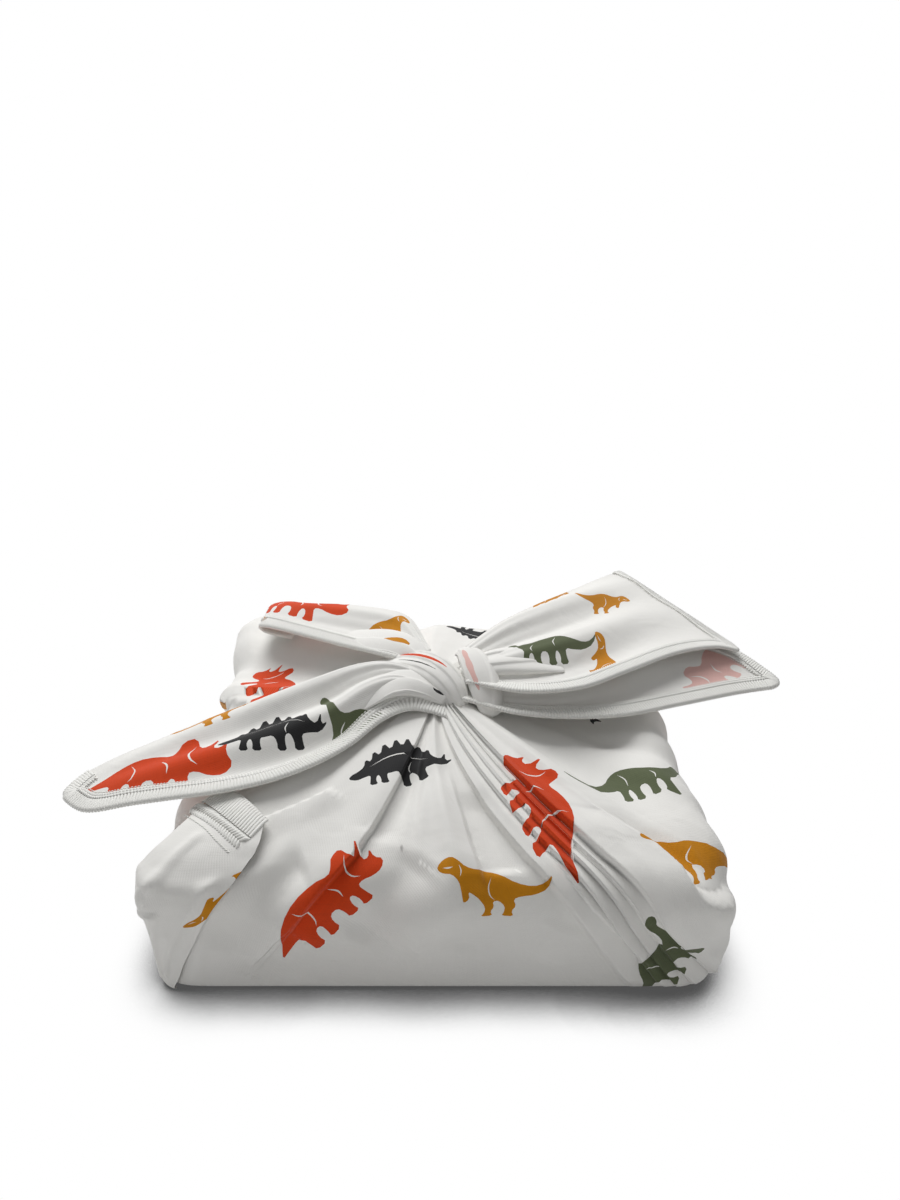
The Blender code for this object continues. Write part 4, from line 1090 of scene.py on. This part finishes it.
def face_and_reverse(points, faces, normals, slots, uv, thickness, offset):
    """A sheet's face, its reverse a thickness away along the normals, and the rim between them.

    offset is how much of the thickness is on the face's side. A border edge is one that a single face uses."""
    faces, uv = wound_outward(points, faces, normals, uv)
    edges = np.concatenate([faces[:, [0, 1]], faces[:, [1, 2]], faces[:, [2, 0]]])
    edge_uv = np.concatenate([uv[:, [0, 1]], uv[:, [1, 2]], uv[:, [2, 0]]])
    owners = np.tile(np.arange(len(faces)), 3)
    pairs = edges.min(axis=1) * len(points) + edges.max(axis=1)
    _, where, count = np.unique(pairs, return_index=True, return_counts=True)
    where = where[count == 1]
    (a, b), size = edges[where].T, len(points)
    uv_a, uv_b = edge_uv[where, 0], edge_uv[where, 1]
    upper, lower = points + normals * thickness * offset, points - normals * thickness * (1.0 - offset)
    faces = np.concatenate([
        faces, faces[:, ::-1] + size, np.stack([b, a, a + size], axis=1), np.stack([b, a + size, b + size], axis=1)
    ])
    uv = np.concatenate([
        uv, uv[:, ::-1], np.stack([uv_b, uv_a, uv_a], axis=1), np.stack([uv_b, uv_a, uv_b], axis=1)
    ])
    rim_slots = slots[owners[where]]
    slots = np.concatenate([slots, OTHER_SIDE[slots], rim_slots, rim_slots])
    return np.concatenate([upper, lower]), faces, np.concatenate([normals, -normals]), slots, uv


def tube_mesh(surface, rows, columns, loops, poles, scale):
    """A printed surface whose last column meets its first: points, faces, normals, ink slots and UV."""
    shape = len(rows), len(columns)
    loops = marks_to_cells(loops, rows, columns)
    cells, faces, owner = cut_grid(shape, [points for points, _ in loops])
    u = np.interp(cells[:, 0], np.arange(shape[0]), rows)
    v = np.interp(cells[:, 1], np.arange(shape[1]), columns)
    uv = np.stack([v * scale[1], u * scale[0]], axis=1)[faces]
    points, _, _, normals = surface_frame(surface, u, v)
    pole_rows = [row % shape[0] for row in poles]
    for row in pole_rows:
        ends = np.abs(cells[:, 0] - row) < SAME
        inner = np.abs(cells[:, 0] - (row + (1 if row == 0 else -1))) < SAME
        normals[ends] = normals[inner].mean(axis=0)
        normals[ends] /= np.linalg.norm(normals[ends], axis=1, keepdims=True)
    faces, kept = closed_round(cells, faces, shape, pole_rows)
    faces, uv, slots = faces[kept], uv[kept], face_inks(loops, owner[kept])
    points, faces, normals = reindexed(points, faces, normals)
    faces, uv = wound_outward(points, faces, normals, uv)
    return points, faces, normals, slots, uv


def sheet_mesh(surface, shape, loops, rim, scale, thickness, reverse_up=False):
    """A printed sheet, a thickness through: points, faces, normals, ink slots and UV."""
    size = np.array((shape[0] - 1, shape[1] - 1))
    rim = None if rim is None else rim * size
    cells, faces, owner = cut_grid(shape, [points * size for points, _ in loops], rim)
    cells, faces = reindexed(cells, faces)
    u, v = (cells / size).T
    points, _, _, normals = surface_frame(surface, u, v)
    if normals[:, 2].sum() < 0:
        normals = -normals
    uv = np.stack([v * scale[1], u * scale[0]], axis=1)[faces]
    slots = face_inks(loops, owner)
    if reverse_up:
        slots = OTHER_SIDE[slots]
    return face_and_reverse(points, faces, normals, slots, uv, thickness, 0.5)


# Materials

def set_inputs(node, values):
    """Give a node's inputs their values by name."""
    for name, value in values.items():
        node.inputs[name].default_value = value


def group_socket(group, name, direction, kind, default=None):
    """A named input or output of a node group."""
    socket = group.interface.new_socket(name=name, in_out=direction, socket_type=kind)
    if default is not None:
        socket.default_value = default


def noise_node(tree, vector, scale, detail, distortion=0.0):
    """The value of a noise at a vector."""
    noise = tree.nodes.new("ShaderNodeTexNoise")
    set_inputs(noise, {"Scale": scale, "Detail": detail, "Distortion": distortion})
    tree.links.new(vector, noise.inputs["Vector"])
    return noise.outputs["Fac"]


def math_node(nodes, links, operation, first, second=None):
    """The result of an operation on one or two sockets or numbers."""
    node = nodes.new("ShaderNodeMath")
    node.operation = operation
    for socket, value in zip(node.inputs, (first, second)):
        if value is None:
            continue
        if isinstance(value, (int, float)):
            socket.default_value = value
        else:
            links.new(value, socket)
    return node.outputs[0]


def plain_weave():
    """Node group of a plain weave: threads over and under each other, slubs, a slow change of tone and a crumple."""
    name = "Plain weave"
    if name in bpy.data.node_groups:
        return bpy.data.node_groups[name]
    group = bpy.data.node_groups.new(name, "ShaderNodeTree")
    group_socket(group, "Colour", "INPUT", "NodeSocketColor", (0.8, 0.8, 0.8, 1.0))
    group_socket(group, "Pitch", "INPUT", "NodeSocketFloat", 0.00042)
    group_socket(group, "Contrast", "INPUT", "NodeSocketFloat", 0.1)
    group_socket(group, "Colour", "OUTPUT", "NodeSocketColor")
    group_socket(group, "Roughness", "OUTPUT", "NodeSocketFloat")
    group_socket(group, "Height", "OUTPUT", "NodeSocketFloat")
    nodes, links = group.nodes, group.links
    given, result = nodes.new("NodeGroupInput"), nodes.new("NodeGroupOutput")
    uv = nodes.new("ShaderNodeUVMap")
    uv.uv_map = "cloth"
    split = nodes.new("ShaderNodeSeparateXYZ")
    links.new(uv.outputs["UV"], split.inputs[0])
    turns = [
        math_node(nodes, links, "MULTIPLY", math_node(nodes, links, "DIVIDE", axis, given.outputs["Pitch"]), math.pi)
        for axis in split.outputs[:2]
    ]
    warp, weft = (math_node(nodes, links, "SINE", turn) for turn in turns)
    weave = math_node(nodes, links, "MULTIPLY", warp, weft)
    slubs = []
    for stretch in ((SLUB_ACROSS, SLUB_ALONG, 1.0), (SLUB_ALONG, SLUB_ACROSS, 1.0)):
        mapping = nodes.new("ShaderNodeMapping")
        mapping.inputs["Scale"].default_value = stretch
        links.new(uv.outputs["UV"], mapping.inputs["Vector"])
        slubs.append(noise_node(group, mapping.outputs[0], 1.0, 2.0))
    threads = math_node(nodes, links, "ADD", *slubs)
    place = nodes.new("ShaderNodeTexCoord").outputs["Object"]
    tone = noise_node(group, place, *TONE)
    shade = math_node(nodes, links, "ADD", math_node(nodes, links, "MULTIPLY", threads, 0.5), tone)
    shade = math_node(nodes, links, "SUBTRACT", shade, 1.0)
    shade = math_node(nodes, links, "MULTIPLY", shade, given.outputs["Contrast"])
    shade = math_node(nodes, links, "ADD", shade, 1.0)
    tinted = nodes.new("ShaderNodeVectorMath")
    tinted.operation = "SCALE"
    links.new(given.outputs["Colour"], tinted.inputs[0])
    links.new(shade, tinted.inputs["Scale"])
    links.new(tinted.outputs[0], result.inputs["Colour"])
    rough = math_node(nodes, links, "MULTIPLY", threads, SLUB_ROUGHNESS)
    links.new(math_node(nodes, links, "ADD", rough, COTTON_ROUGHNESS), result.inputs["Roughness"])
    height = math_node(nodes, links, "ADD", weave, math_node(nodes, links, "MULTIPLY", threads, 2.0))
    crumple = math_node(nodes, links, "MULTIPLY", noise_node(group, place, *CRUMPLE), CRUMPLE_HEIGHT)
    links.new(math_node(nodes, links, "ADD", height, crumple), result.inputs["Height"])
    return group


def cloth_material(name, colour, contrast, pitch):
    """Woven cotton of one colour, plain or printed."""
    made = bpy.data.materials.get(name) or bpy.data.materials.new(name)
    made.use_nodes = True
    tree = made.node_tree
    shader = next(node for node in tree.nodes if node.type == "BSDF_PRINCIPLED")
    weave = tree.nodes.new("ShaderNodeGroup")
    weave.node_tree = plain_weave()
    set_inputs(weave, {"Colour": (*colour, 1.0), "Pitch": pitch, "Contrast": contrast})
    bump = tree.nodes.new("ShaderNodeBump")
    set_inputs(bump, {"Strength": 0.22, "Distance": 0.00012})
    tree.links.new(weave.outputs["Height"], bump.inputs["Height"])
    tree.links.new(weave.outputs["Colour"], shader.inputs["Base Color"])
    tree.links.new(weave.outputs["Roughness"], shader.inputs["Roughness"])
    tree.links.new(bump.outputs["Normal"], shader.inputs["Normal"])
    set_inputs(shader, {"Sheen Weight": 0.12, "Sheen Roughness": 0.5, "Specular IOR Level": 0.25})


def cloth_slots():
    """The cloth's materials in slot order: plain cotton, which has the record's slot name, then the inks, and then
    the inks as the reverse shows them, a mix of ink and cotton."""
    cloth = bpy.context.scene.furoshiki_cloth
    names = [CLOTH_SLOT, *("ink_" + ink for ink in SLOT_INKS[1:])]
    if names[1] not in bpy.data.materials:
        cloth_material(CLOTH_SLOT, tuple(cloth.cotton), PLAIN_CONTRAST, cloth.weave_pitch)
        for ink in INK_NAMES:
            colour = np.array(getattr(cloth, ink))
            faint = np.array(cloth.cotton) * (1.0 - cloth.reverse_share) + colour * cloth.reverse_share
            cloth_material("ink_" + ink, tuple(colour), INK_CONTRAST, cloth.weave_pitch)
            cloth_material("ink_" + ink + "_reverse", tuple(faint), REVERSE_CONTRAST, cloth.weave_pitch)
    return [bpy.data.materials[name] for name in names]


def thread_material():
    """Bulky overlock thread: soft white with a fine twist along it."""
    name = "overlock_thread"
    if name in bpy.data.materials:
        return bpy.data.materials[name]
    made = bpy.data.materials.new(name)
    made.use_nodes = True
    tree = made.node_tree
    shader = tree.nodes["Principled BSDF"]
    twist = noise_node(tree, tree.nodes.new("ShaderNodeTexCoord").outputs["Object"], 1800.0, 2.0)
    ramp = tree.nodes.new("ShaderNodeValToRGB")
    colour = np.array(bpy.context.scene.furoshiki_thread.colour)
    ramp.color_ramp.elements[0].color = (*(colour * 0.9), 1.0)
    ramp.color_ramp.elements[1].color = (*np.minimum(colour * 1.04, 1.0), 1.0)
    bump = tree.nodes.new("ShaderNodeBump")
    set_inputs(bump, {"Strength": 0.3, "Distance": 0.0001})
    tree.links.new(twist, ramp.inputs["Fac"])
    tree.links.new(twist, bump.inputs["Height"])
    tree.links.new(ramp.outputs["Color"], shader.inputs["Base Color"])
    tree.links.new(bump.outputs["Normal"], shader.inputs["Normal"])
    set_inputs(shader, {"Roughness": 0.7, "Sheen Weight": 0.2})
    return made


# Overlock

Walk = namedtuple("Walk", "u v points along_u along_v normals ahead rounds")


def run_along(points):
    """How far along a line of points each of them is."""
    return np.concatenate([[0.0], np.cumsum(np.linalg.norm(np.diff(points, axis=0), axis=1))])


def edge_walk(surface, path, pitch, rounds):
    """Even steps along an edge path of surface places: the places, points, slopes, normals and headings, and the
    rounds of stretching that a step inward gets."""
    dense = np.linspace(0.0, 1.0, EDGE_PLACES)
    u, v = (np.interp(dense, np.linspace(0.0, 1.0, len(path)), places) for places in path.T)
    run = run_along(surface(u, v))
    count = max(int(run[-1] / pitch), 2)
    stops = np.linspace(0.0, run[-1], count)
    u, v = np.interp(stops, run, u), np.interp(stops, run, v)
    points, along_u, along_v, normals = surface_frame(surface, u, v)
    ahead = np.gradient(points, axis=0)
    ahead /= np.linalg.norm(ahead, axis=1, keepdims=True)
    return Walk(u, v, points, along_u, along_v, normals, ahead, rounds)


def stepped_in(surface, walk, inward, distance, height, forward):
    """Points a distance in from the edge, a height off the surface and a step forward, on the surface's own slopes.

    The step in the surface's two places solves the least-squares equations of its slopes, is stretched until it is
    as long on the surface as it should be, and doesn't go past the surface's middle line."""
    u, v, edge, along_u, along_v, _, ahead, rounds = walk
    step = inward * distance + ahead * forward
    length = np.linalg.norm(step, axis=1)
    uu, uv, vv = (along_u ** 2).sum(1), (along_u * along_v).sum(1), (along_v ** 2).sum(1)
    su, sv = (along_u * step).sum(1), (along_v * step).sum(1)
    det = uu * vv - uv * uv + TINY_SQUARE
    step_u, step_v = (vv * su - uv * sv) / det, (uu * sv - uv * su) / det
    for _ in range(rounds):
        reached = np.linalg.norm(surface(u + step_u, v + step_v) - edge, axis=1)
        share = np.clip(length / (reached + SAME), *STRETCH)
        step_u, step_v = step_u * share, step_v * share
    place_v = v + step_v
    if rounds:
        place_v = np.where(v < 0.5, np.minimum(place_v, 0.5), np.maximum(place_v, 0.5))
    points, _, _, normals = surface_frame(surface, u + step_u, place_v)
    return points + normals * height


def thread_tubes(paths, guide, radii, sides=6, flatness=0.62):
    """Tubes along many short paths at once: flat oval rings square to each path, wide along the guide, and open at
    the ends, which taper."""
    count, steps = paths.shape[:2]
    ahead = np.gradient(paths, axis=1)
    ahead /= np.linalg.norm(ahead, axis=2, keepdims=True) + TINY_LENGTH
    beside = guide[:, None] - ahead * (ahead * guide[:, None]).sum(axis=2, keepdims=True)
    beside /= np.linalg.norm(beside, axis=2, keepdims=True) + TINY_LENGTH
    above = np.cross(beside, ahead)
    turn = np.linspace(0.0, 2 * math.pi, sides, endpoint=False)
    ring = beside[:, :, None] * np.cos(turn)[:, None] + above[:, :, None] * (flatness * np.sin(turn))[:, None]
    points = paths[:, :, None] + ring * np.asarray(radii)[None, :, None, None]
    i, j = np.mgrid[0:steps - 1, 0:sides]
    a, b = i * sides + j, i * sides + (j + 1) % sides
    quads = np.stack([a, a + sides, b + sides, b], axis=-1).reshape(-1, 4)
    faces = quads[None] + (np.arange(count) * steps * sides)[:, None, None]
    return points.reshape(-1, 3), faces.reshape(-1, 4)


def overlock(surface, path, thickness, rounds=3):
    """Threads along one raw edge: bulky ribs round the edge, a plaited chain inside them, and a needle line."""
    thread = bpy.context.scene.furoshiki_thread
    walk = edge_walk(surface, path, thread.pitch, rounds)
    up = np.sign(walk.normals[:, 2].sum() or 1.0)
    inward = np.cross(walk.normals, walk.ahead)
    middle = surface(np.array([0.5]), np.array([0.5]))[0]
    inward *= np.sign(((middle - walk.points) * inward).sum())
    radius = thread.thread / 2

    def stitches(rows, guide, sides=6):
        """Tubes through rows of millimetres in, height, pitches forward and share of the thread's width."""
        steps = [stepped_in(surface, walk, inward, deep * MM, high, on * thread.pitch) for deep, high, on, _ in rows]
        return thread_tubes(np.stack(steps, axis=1), guide, radius * np.array([row[3] for row in rows]), sides)

    top = up * (thickness / 2 + radius * RIB_RISE)
    parts = [stitches([(deep, share * top, on, wide) for deep, share, on, wide in RIB], walk.ahead)]
    lift = up * (thickness / 2 + radius * CHAIN_RISE)
    for lean in (1.0, -1.0):
        parts.append(stitches([
            (CHAIN_IN + lean * CHAIN_HALF + lean * part * CHAIN_HALF, lift * high, part * CHAIN_STEP, wide)
            for part, high, wide in CHAIN
        ], inward))
    parts.append(stitches([
        (NEEDLE_IN, up * (thickness / 2 + high * radius * NEEDLE_RISE), on, wide) for on, high, wide in NEEDLE
    ], inward, sides=4))
    return parts


def joined(parts):
    """Points and faces of many parts as one."""
    starts = np.cumsum([0] + [len(points) for points, _ in parts[:-1]])
    return (
        np.concatenate([points for points, _ in parts]),
        np.concatenate([faces + start for (_, faces), start in zip(parts, starts)]),
    )


def leaf_edges(name, count=14):
    """A leaf's near edge, end and far edge in shares along and across; the end's corners are quarter ellipses."""
    deep, wide = LEAF_ENDS[name]
    turn = np.linspace(0.0, math.pi / 2, count)
    near = np.array(((0.0, 0.0), (1.0 - deep, 0.0)))
    if deep:
        corner = np.stack([1.0 - deep + deep * np.sin(turn), wide - wide * np.cos(turn)], axis=1)[1:]
    else:
        corner = np.array(((1.0, 0.5),))
    end = np.concatenate([corner, (corner * (1.0, -1.0) + (0.0, 1.0))[::-1]])
    return {"near": near, "end": end, "far": np.array(((1.0 - deep, 1.0), (0.0, 1.0)))}


def edge_path(edges, names):
    """Edges joined end to end, with doubled points dropped and even spacing by share."""
    path = np.concatenate([edges[name] for name in names])
    path = path[np.concatenate([[True], np.linalg.norm(np.diff(path, axis=0), axis=1) > SAME])]
    run = run_along(path)
    stops = np.linspace(0.0, run[-1], RIM_PLACES)
    return np.stack([np.interp(stops, run, path[:, i]) for i in (0, 1)], axis=1)


# Building

def make_wrap():
    """The cloth's middle, drawn up round the pack."""
    cloth = bpy.context.scene.furoshiki_cloth
    loops = wrap_prints(cloth.motif_length)
    mesh = tube_mesh(wrap_surface, WRAP_ROWS, WRAP_COLUMNS, loops, (0,), (FULL_CLIMB, HALF))
    piece = add_piece("wrap_cloth", cloth_slots(), *face_and_reverse(*mesh, cloth.thickness, 0.0))


def make_flap():
    """The corner flap and its overlocked end."""
    cloth = bpy.context.scene.furoshiki_cloth
    loops = sheet_prints(FLAP_PRINTS, flap_surface, cloth.motif_length)
    mesh = sheet_mesh(flap_surface, FLAP_GRID, loops, None, FLAP_CLOTH, cloth.thickness)
    piece = add_piece("corner_flap", cloth_slots(), *mesh)
    path = np.stack([np.ones(END_PLACES), np.linspace(0.0, 1.0, END_PLACES)], axis=1)
    points, faces = joined(overlock(flap_surface, path, cloth.thickness, 0))
    threads = add_piece("flap_overlock", [thread_material()], points, faces)


def make_leaves():
    """The four leaves, each with its overlocked rim."""
    cloth = bpy.context.scene.furoshiki_cloth
    for name in LEAVES:
        surface = leaf_surface(name)
        edges = leaf_edges(name)
        rim = edge_path(edges, ("near", "end", "far"))
        loops = sheet_prints(LEAF_PRINTS[name], surface, cloth.motif_length)
        width, length, share = LEAF_FLATS[name]
        mesh = sheet_mesh(surface, LEAF_GRIDS[name], loops, rim, (length, width), cloth.thickness, name == "right")
        piece = add_piece("leaf_" + name, cloth_slots(), *mesh)
        path = edge_path(edges, LEAF_OVERLOCKS[name].split())
        points, faces = joined(overlock(surface, path, cloth.thickness))
        threads = add_piece("overlock_" + name, [thread_material()], points, faces)


def make_knot():
    """The knot as one piece: its straps and its core."""
    rows, columns = (np.linspace(0.0, 1.0, count) for count in STRAP_GRID)
    parts = []
    for name in STRAPS:
        loops = [(soften(np.array(loop)), ink) for loop, ink in STRAP_MARKS[name]]
        parts.append(tube_mesh(strap_surface(name), rows, columns, loops, (0, -1), STRAP_CLOTH))
    parts.append(tube_mesh(core_surface, rows, columns, [], (0, -1), CORE_CLOTH))
    points, faces = joined([part[:2] for part in parts])
    normals, slots, uv = (np.concatenate([part[i] for part in parts]) for i in (2, 3, 4))
    piece = add_piece("knot", cloth_slots(), points, faces, normals, slots, uv)


def camera_only(tree, strength, indirect):
    """A strength that the camera sees, and another for all other rays."""
    path = tree.nodes.new("ShaderNodeLightPath")
    mix = tree.nodes.new("ShaderNodeMix")
    set_inputs(mix, {"A": indirect, "B": strength})
    tree.links.new(path.outputs["Is Camera Ray"], mix.inputs["Factor"])
    return mix.outputs["Result"]


def white_paper():
    """White matt paper that the camera sees as an even glow, with a painted shadow close to where something stands on
    it: ambient occlusion darkens the glow there. Other rays see the matt paper.
    """
    paper = bpy.data.materials.new("white_paper")
    paper.use_nodes = True
    tree = paper.node_tree
    shader = tree.nodes["Principled BSDF"]
    set_inputs(shader, {"Base Color": (0.9, 0.9, 0.9, 1.0), "Roughness": 0.9, "Specular IOR Level": 0.1})
    # Painted shadow: ambient occlusion within 22 mm, mapped from dark to full, sets how strongly the floor glows for
    # the camera, so the floor is darker close to the pack.
    near = tree.nodes.new("ShaderNodeAmbientOcclusion")
    near.samples = 12
    near.inputs["Distance"].default_value = 0.022
    tone = tree.nodes.new("ShaderNodeMapRange")
    tone.interpolation_type = "SMOOTHSTEP"
    set_inputs(tone, {"From Min": 0.46, "From Max": 0.90, "To Min": 0.08, "To Max": 1.0})
    shadowed_glow = tree.nodes.new("ShaderNodeEmission")
    path = tree.nodes.new("ShaderNodeLightPath")
    mix = tree.nodes.new("ShaderNodeMixShader")
    for start, end in (
        (near.outputs["AO"], tone.inputs["Value"]),
        (tone.outputs["Result"], shadowed_glow.inputs["Strength"]),
        (path.outputs["Is Camera Ray"], mix.inputs[0]),
        (shader.outputs[0], mix.inputs[1]),
        (shadowed_glow.outputs[0], mix.inputs[2]),
        (mix.outputs[0], tree.nodes["Material Output"].inputs["Surface"]),
    ):
        tree.links.new(start, end)
    return paper


def make_stage():
    """A white floor, a white surround, soft lights, and the camera."""
    stage = bpy.context.scene.furoshiki_stage
    scene = bpy.context.scene
    turn = np.linspace(0.0, 2 * math.pi, FLOOR_SIDES, endpoint=False)
    ring = FLOOR_RADIUS * np.stack([np.cos(turn), np.sin(turn), 0.0 * turn], axis=1)
    mesh = bpy.data.meshes.new("floor")
    mesh.from_pydata(ring.tolist(), [], [list(range(FLOOR_SIDES))])
    floor = bpy.data.objects.new("floor", mesh)
    scene.collection.objects.link(floor)
    mesh.materials.append(white_paper())

    world = bpy.data.worlds.new("surround")
    world.use_nodes = True
    sky = world.node_tree.nodes["Background"]
    sky.inputs["Color"].default_value = (1.0, 1.0, 1.0, 1.0)
    world.node_tree.links.new(camera_only(world.node_tree, 1.0, stage.sky), sky.inputs["Strength"])
    scene.world = world
    for name, (place, size), power in (("top_light", TOP_LIGHT, stage.key), ("front_light", FRONT_LIGHT, stage.fill)):
        data = bpy.data.lights.new(name, "AREA")
        data.shape = "DISK"
        data.size = size
        data.energy = power
        lamp = bpy.data.objects.new(name, data)
        lamp.location = place
        x, y, z = place
        lamp.rotation_euler = (math.atan2(math.hypot(x, y), z - LIT_HEIGHT), 0.0, math.atan2(x, -y))
        scene.collection.objects.link(lamp)

    data = bpy.data.cameras.new("camera")
    data.lens = stage.lens
    data.sensor_width = SENSOR_WIDTH
    data.clip_start = 0.01
    camera = bpy.data.objects.new("camera", data)
    camera.location = CAMERA_PLACE
    camera.rotation_euler = (math.pi / 2 - stage.pitch, 0.0, 0.0)
    scene.collection.objects.link(camera)
    scene.camera = camera
    scene.view_settings.view_transform = "Standard"


# Add-on

class FUROSHIKI_OT_stage(bpy.types.Operator):
    """Make the floor, the lights and the camera"""

    bl_idname = "furoshiki.stage"
    bl_label = "Stage"

    def execute(self, context):
        make_stage()
        return {"FINISHED"}


class FUROSHIKI_OT_wrap(bpy.types.Operator):
    """Make the cloth's middle, drawn up round the pack"""

    bl_idname = "furoshiki.wrap"
    bl_label = "Wrap"

    def execute(self, context):
        make_wrap()
        return {"FINISHED"}


class FUROSHIKI_OT_flap(bpy.types.Operator):
    """Make the folded corner over the front left corner"""

    bl_idname = "furoshiki.flap"
    bl_label = "Corner flap"

    def execute(self, context):
        make_flap()
        return {"FINISHED"}


class FUROSHIKI_OT_leaves(bpy.types.Operator):
    """Make the four leaves that lie over the top"""

    bl_idname = "furoshiki.leaves"
    bl_label = "Leaves"

    def execute(self, context):
        make_leaves()
        return {"FINISHED"}


class FUROSHIKI_OT_knot(bpy.types.Operator):
    """Make the knot's straps and core"""

    bl_idname = "furoshiki.knot"
    bl_label = "Knot"

    def execute(self, context):
        make_knot()
        return {"FINISHED"}


class FUROSHIKI_PT_panel(bpy.types.Panel):
    """Lists the cloth's sizes, colours and pieces"""

    bl_idname = "FUROSHIKI_PT_panel"
    bl_label = "Furoshiki wrap"
    bl_space_type = "VIEW_3D"
    bl_region_type = "UI"
    bl_category = "Furoshiki"

    def draw(self, context):
        layout = self.layout
        for group in (context.scene.furoshiki_cloth, context.scene.furoshiki_thread, context.scene.furoshiki_stage):
            box = layout.box()
            for name in group.__annotations__:
                box.prop(group, name)
        for step in STEPS:
            layout.operator(step.bl_idname)


SETTINGS = {"furoshiki_cloth": ClothSettings, "furoshiki_thread": ThreadSettings, "furoshiki_stage": StageSettings}
STEPS = (FUROSHIKI_OT_stage, FUROSHIKI_OT_wrap, FUROSHIKI_OT_flap, FUROSHIKI_OT_leaves, FUROSHIKI_OT_knot)
CLASSES = (*SETTINGS.values(), *STEPS, FUROSHIKI_PT_panel)


def register():
    """Register the settings, operators and panel."""
    for group in CLASSES:
        bpy.utils.register_class(group)
    for name, group in SETTINGS.items():
        setattr(bpy.types.Scene, name, PointerProperty(type=group))


def unregister():
    """Take the settings, operators and panel away again."""
    for name in SETTINGS:
        delattr(bpy.types.Scene, name)
    for group in reversed(CLASSES):
        bpy.utils.unregister_class(group)


def main():
    """Make the stage and every piece."""
    register()
    bpy.ops.furoshiki.stage()
    bpy.ops.furoshiki.wrap()
    bpy.ops.furoshiki.flap()
    bpy.ops.furoshiki.leaves()
    bpy.ops.furoshiki.knot()


if __name__ == "__main__":
    main()
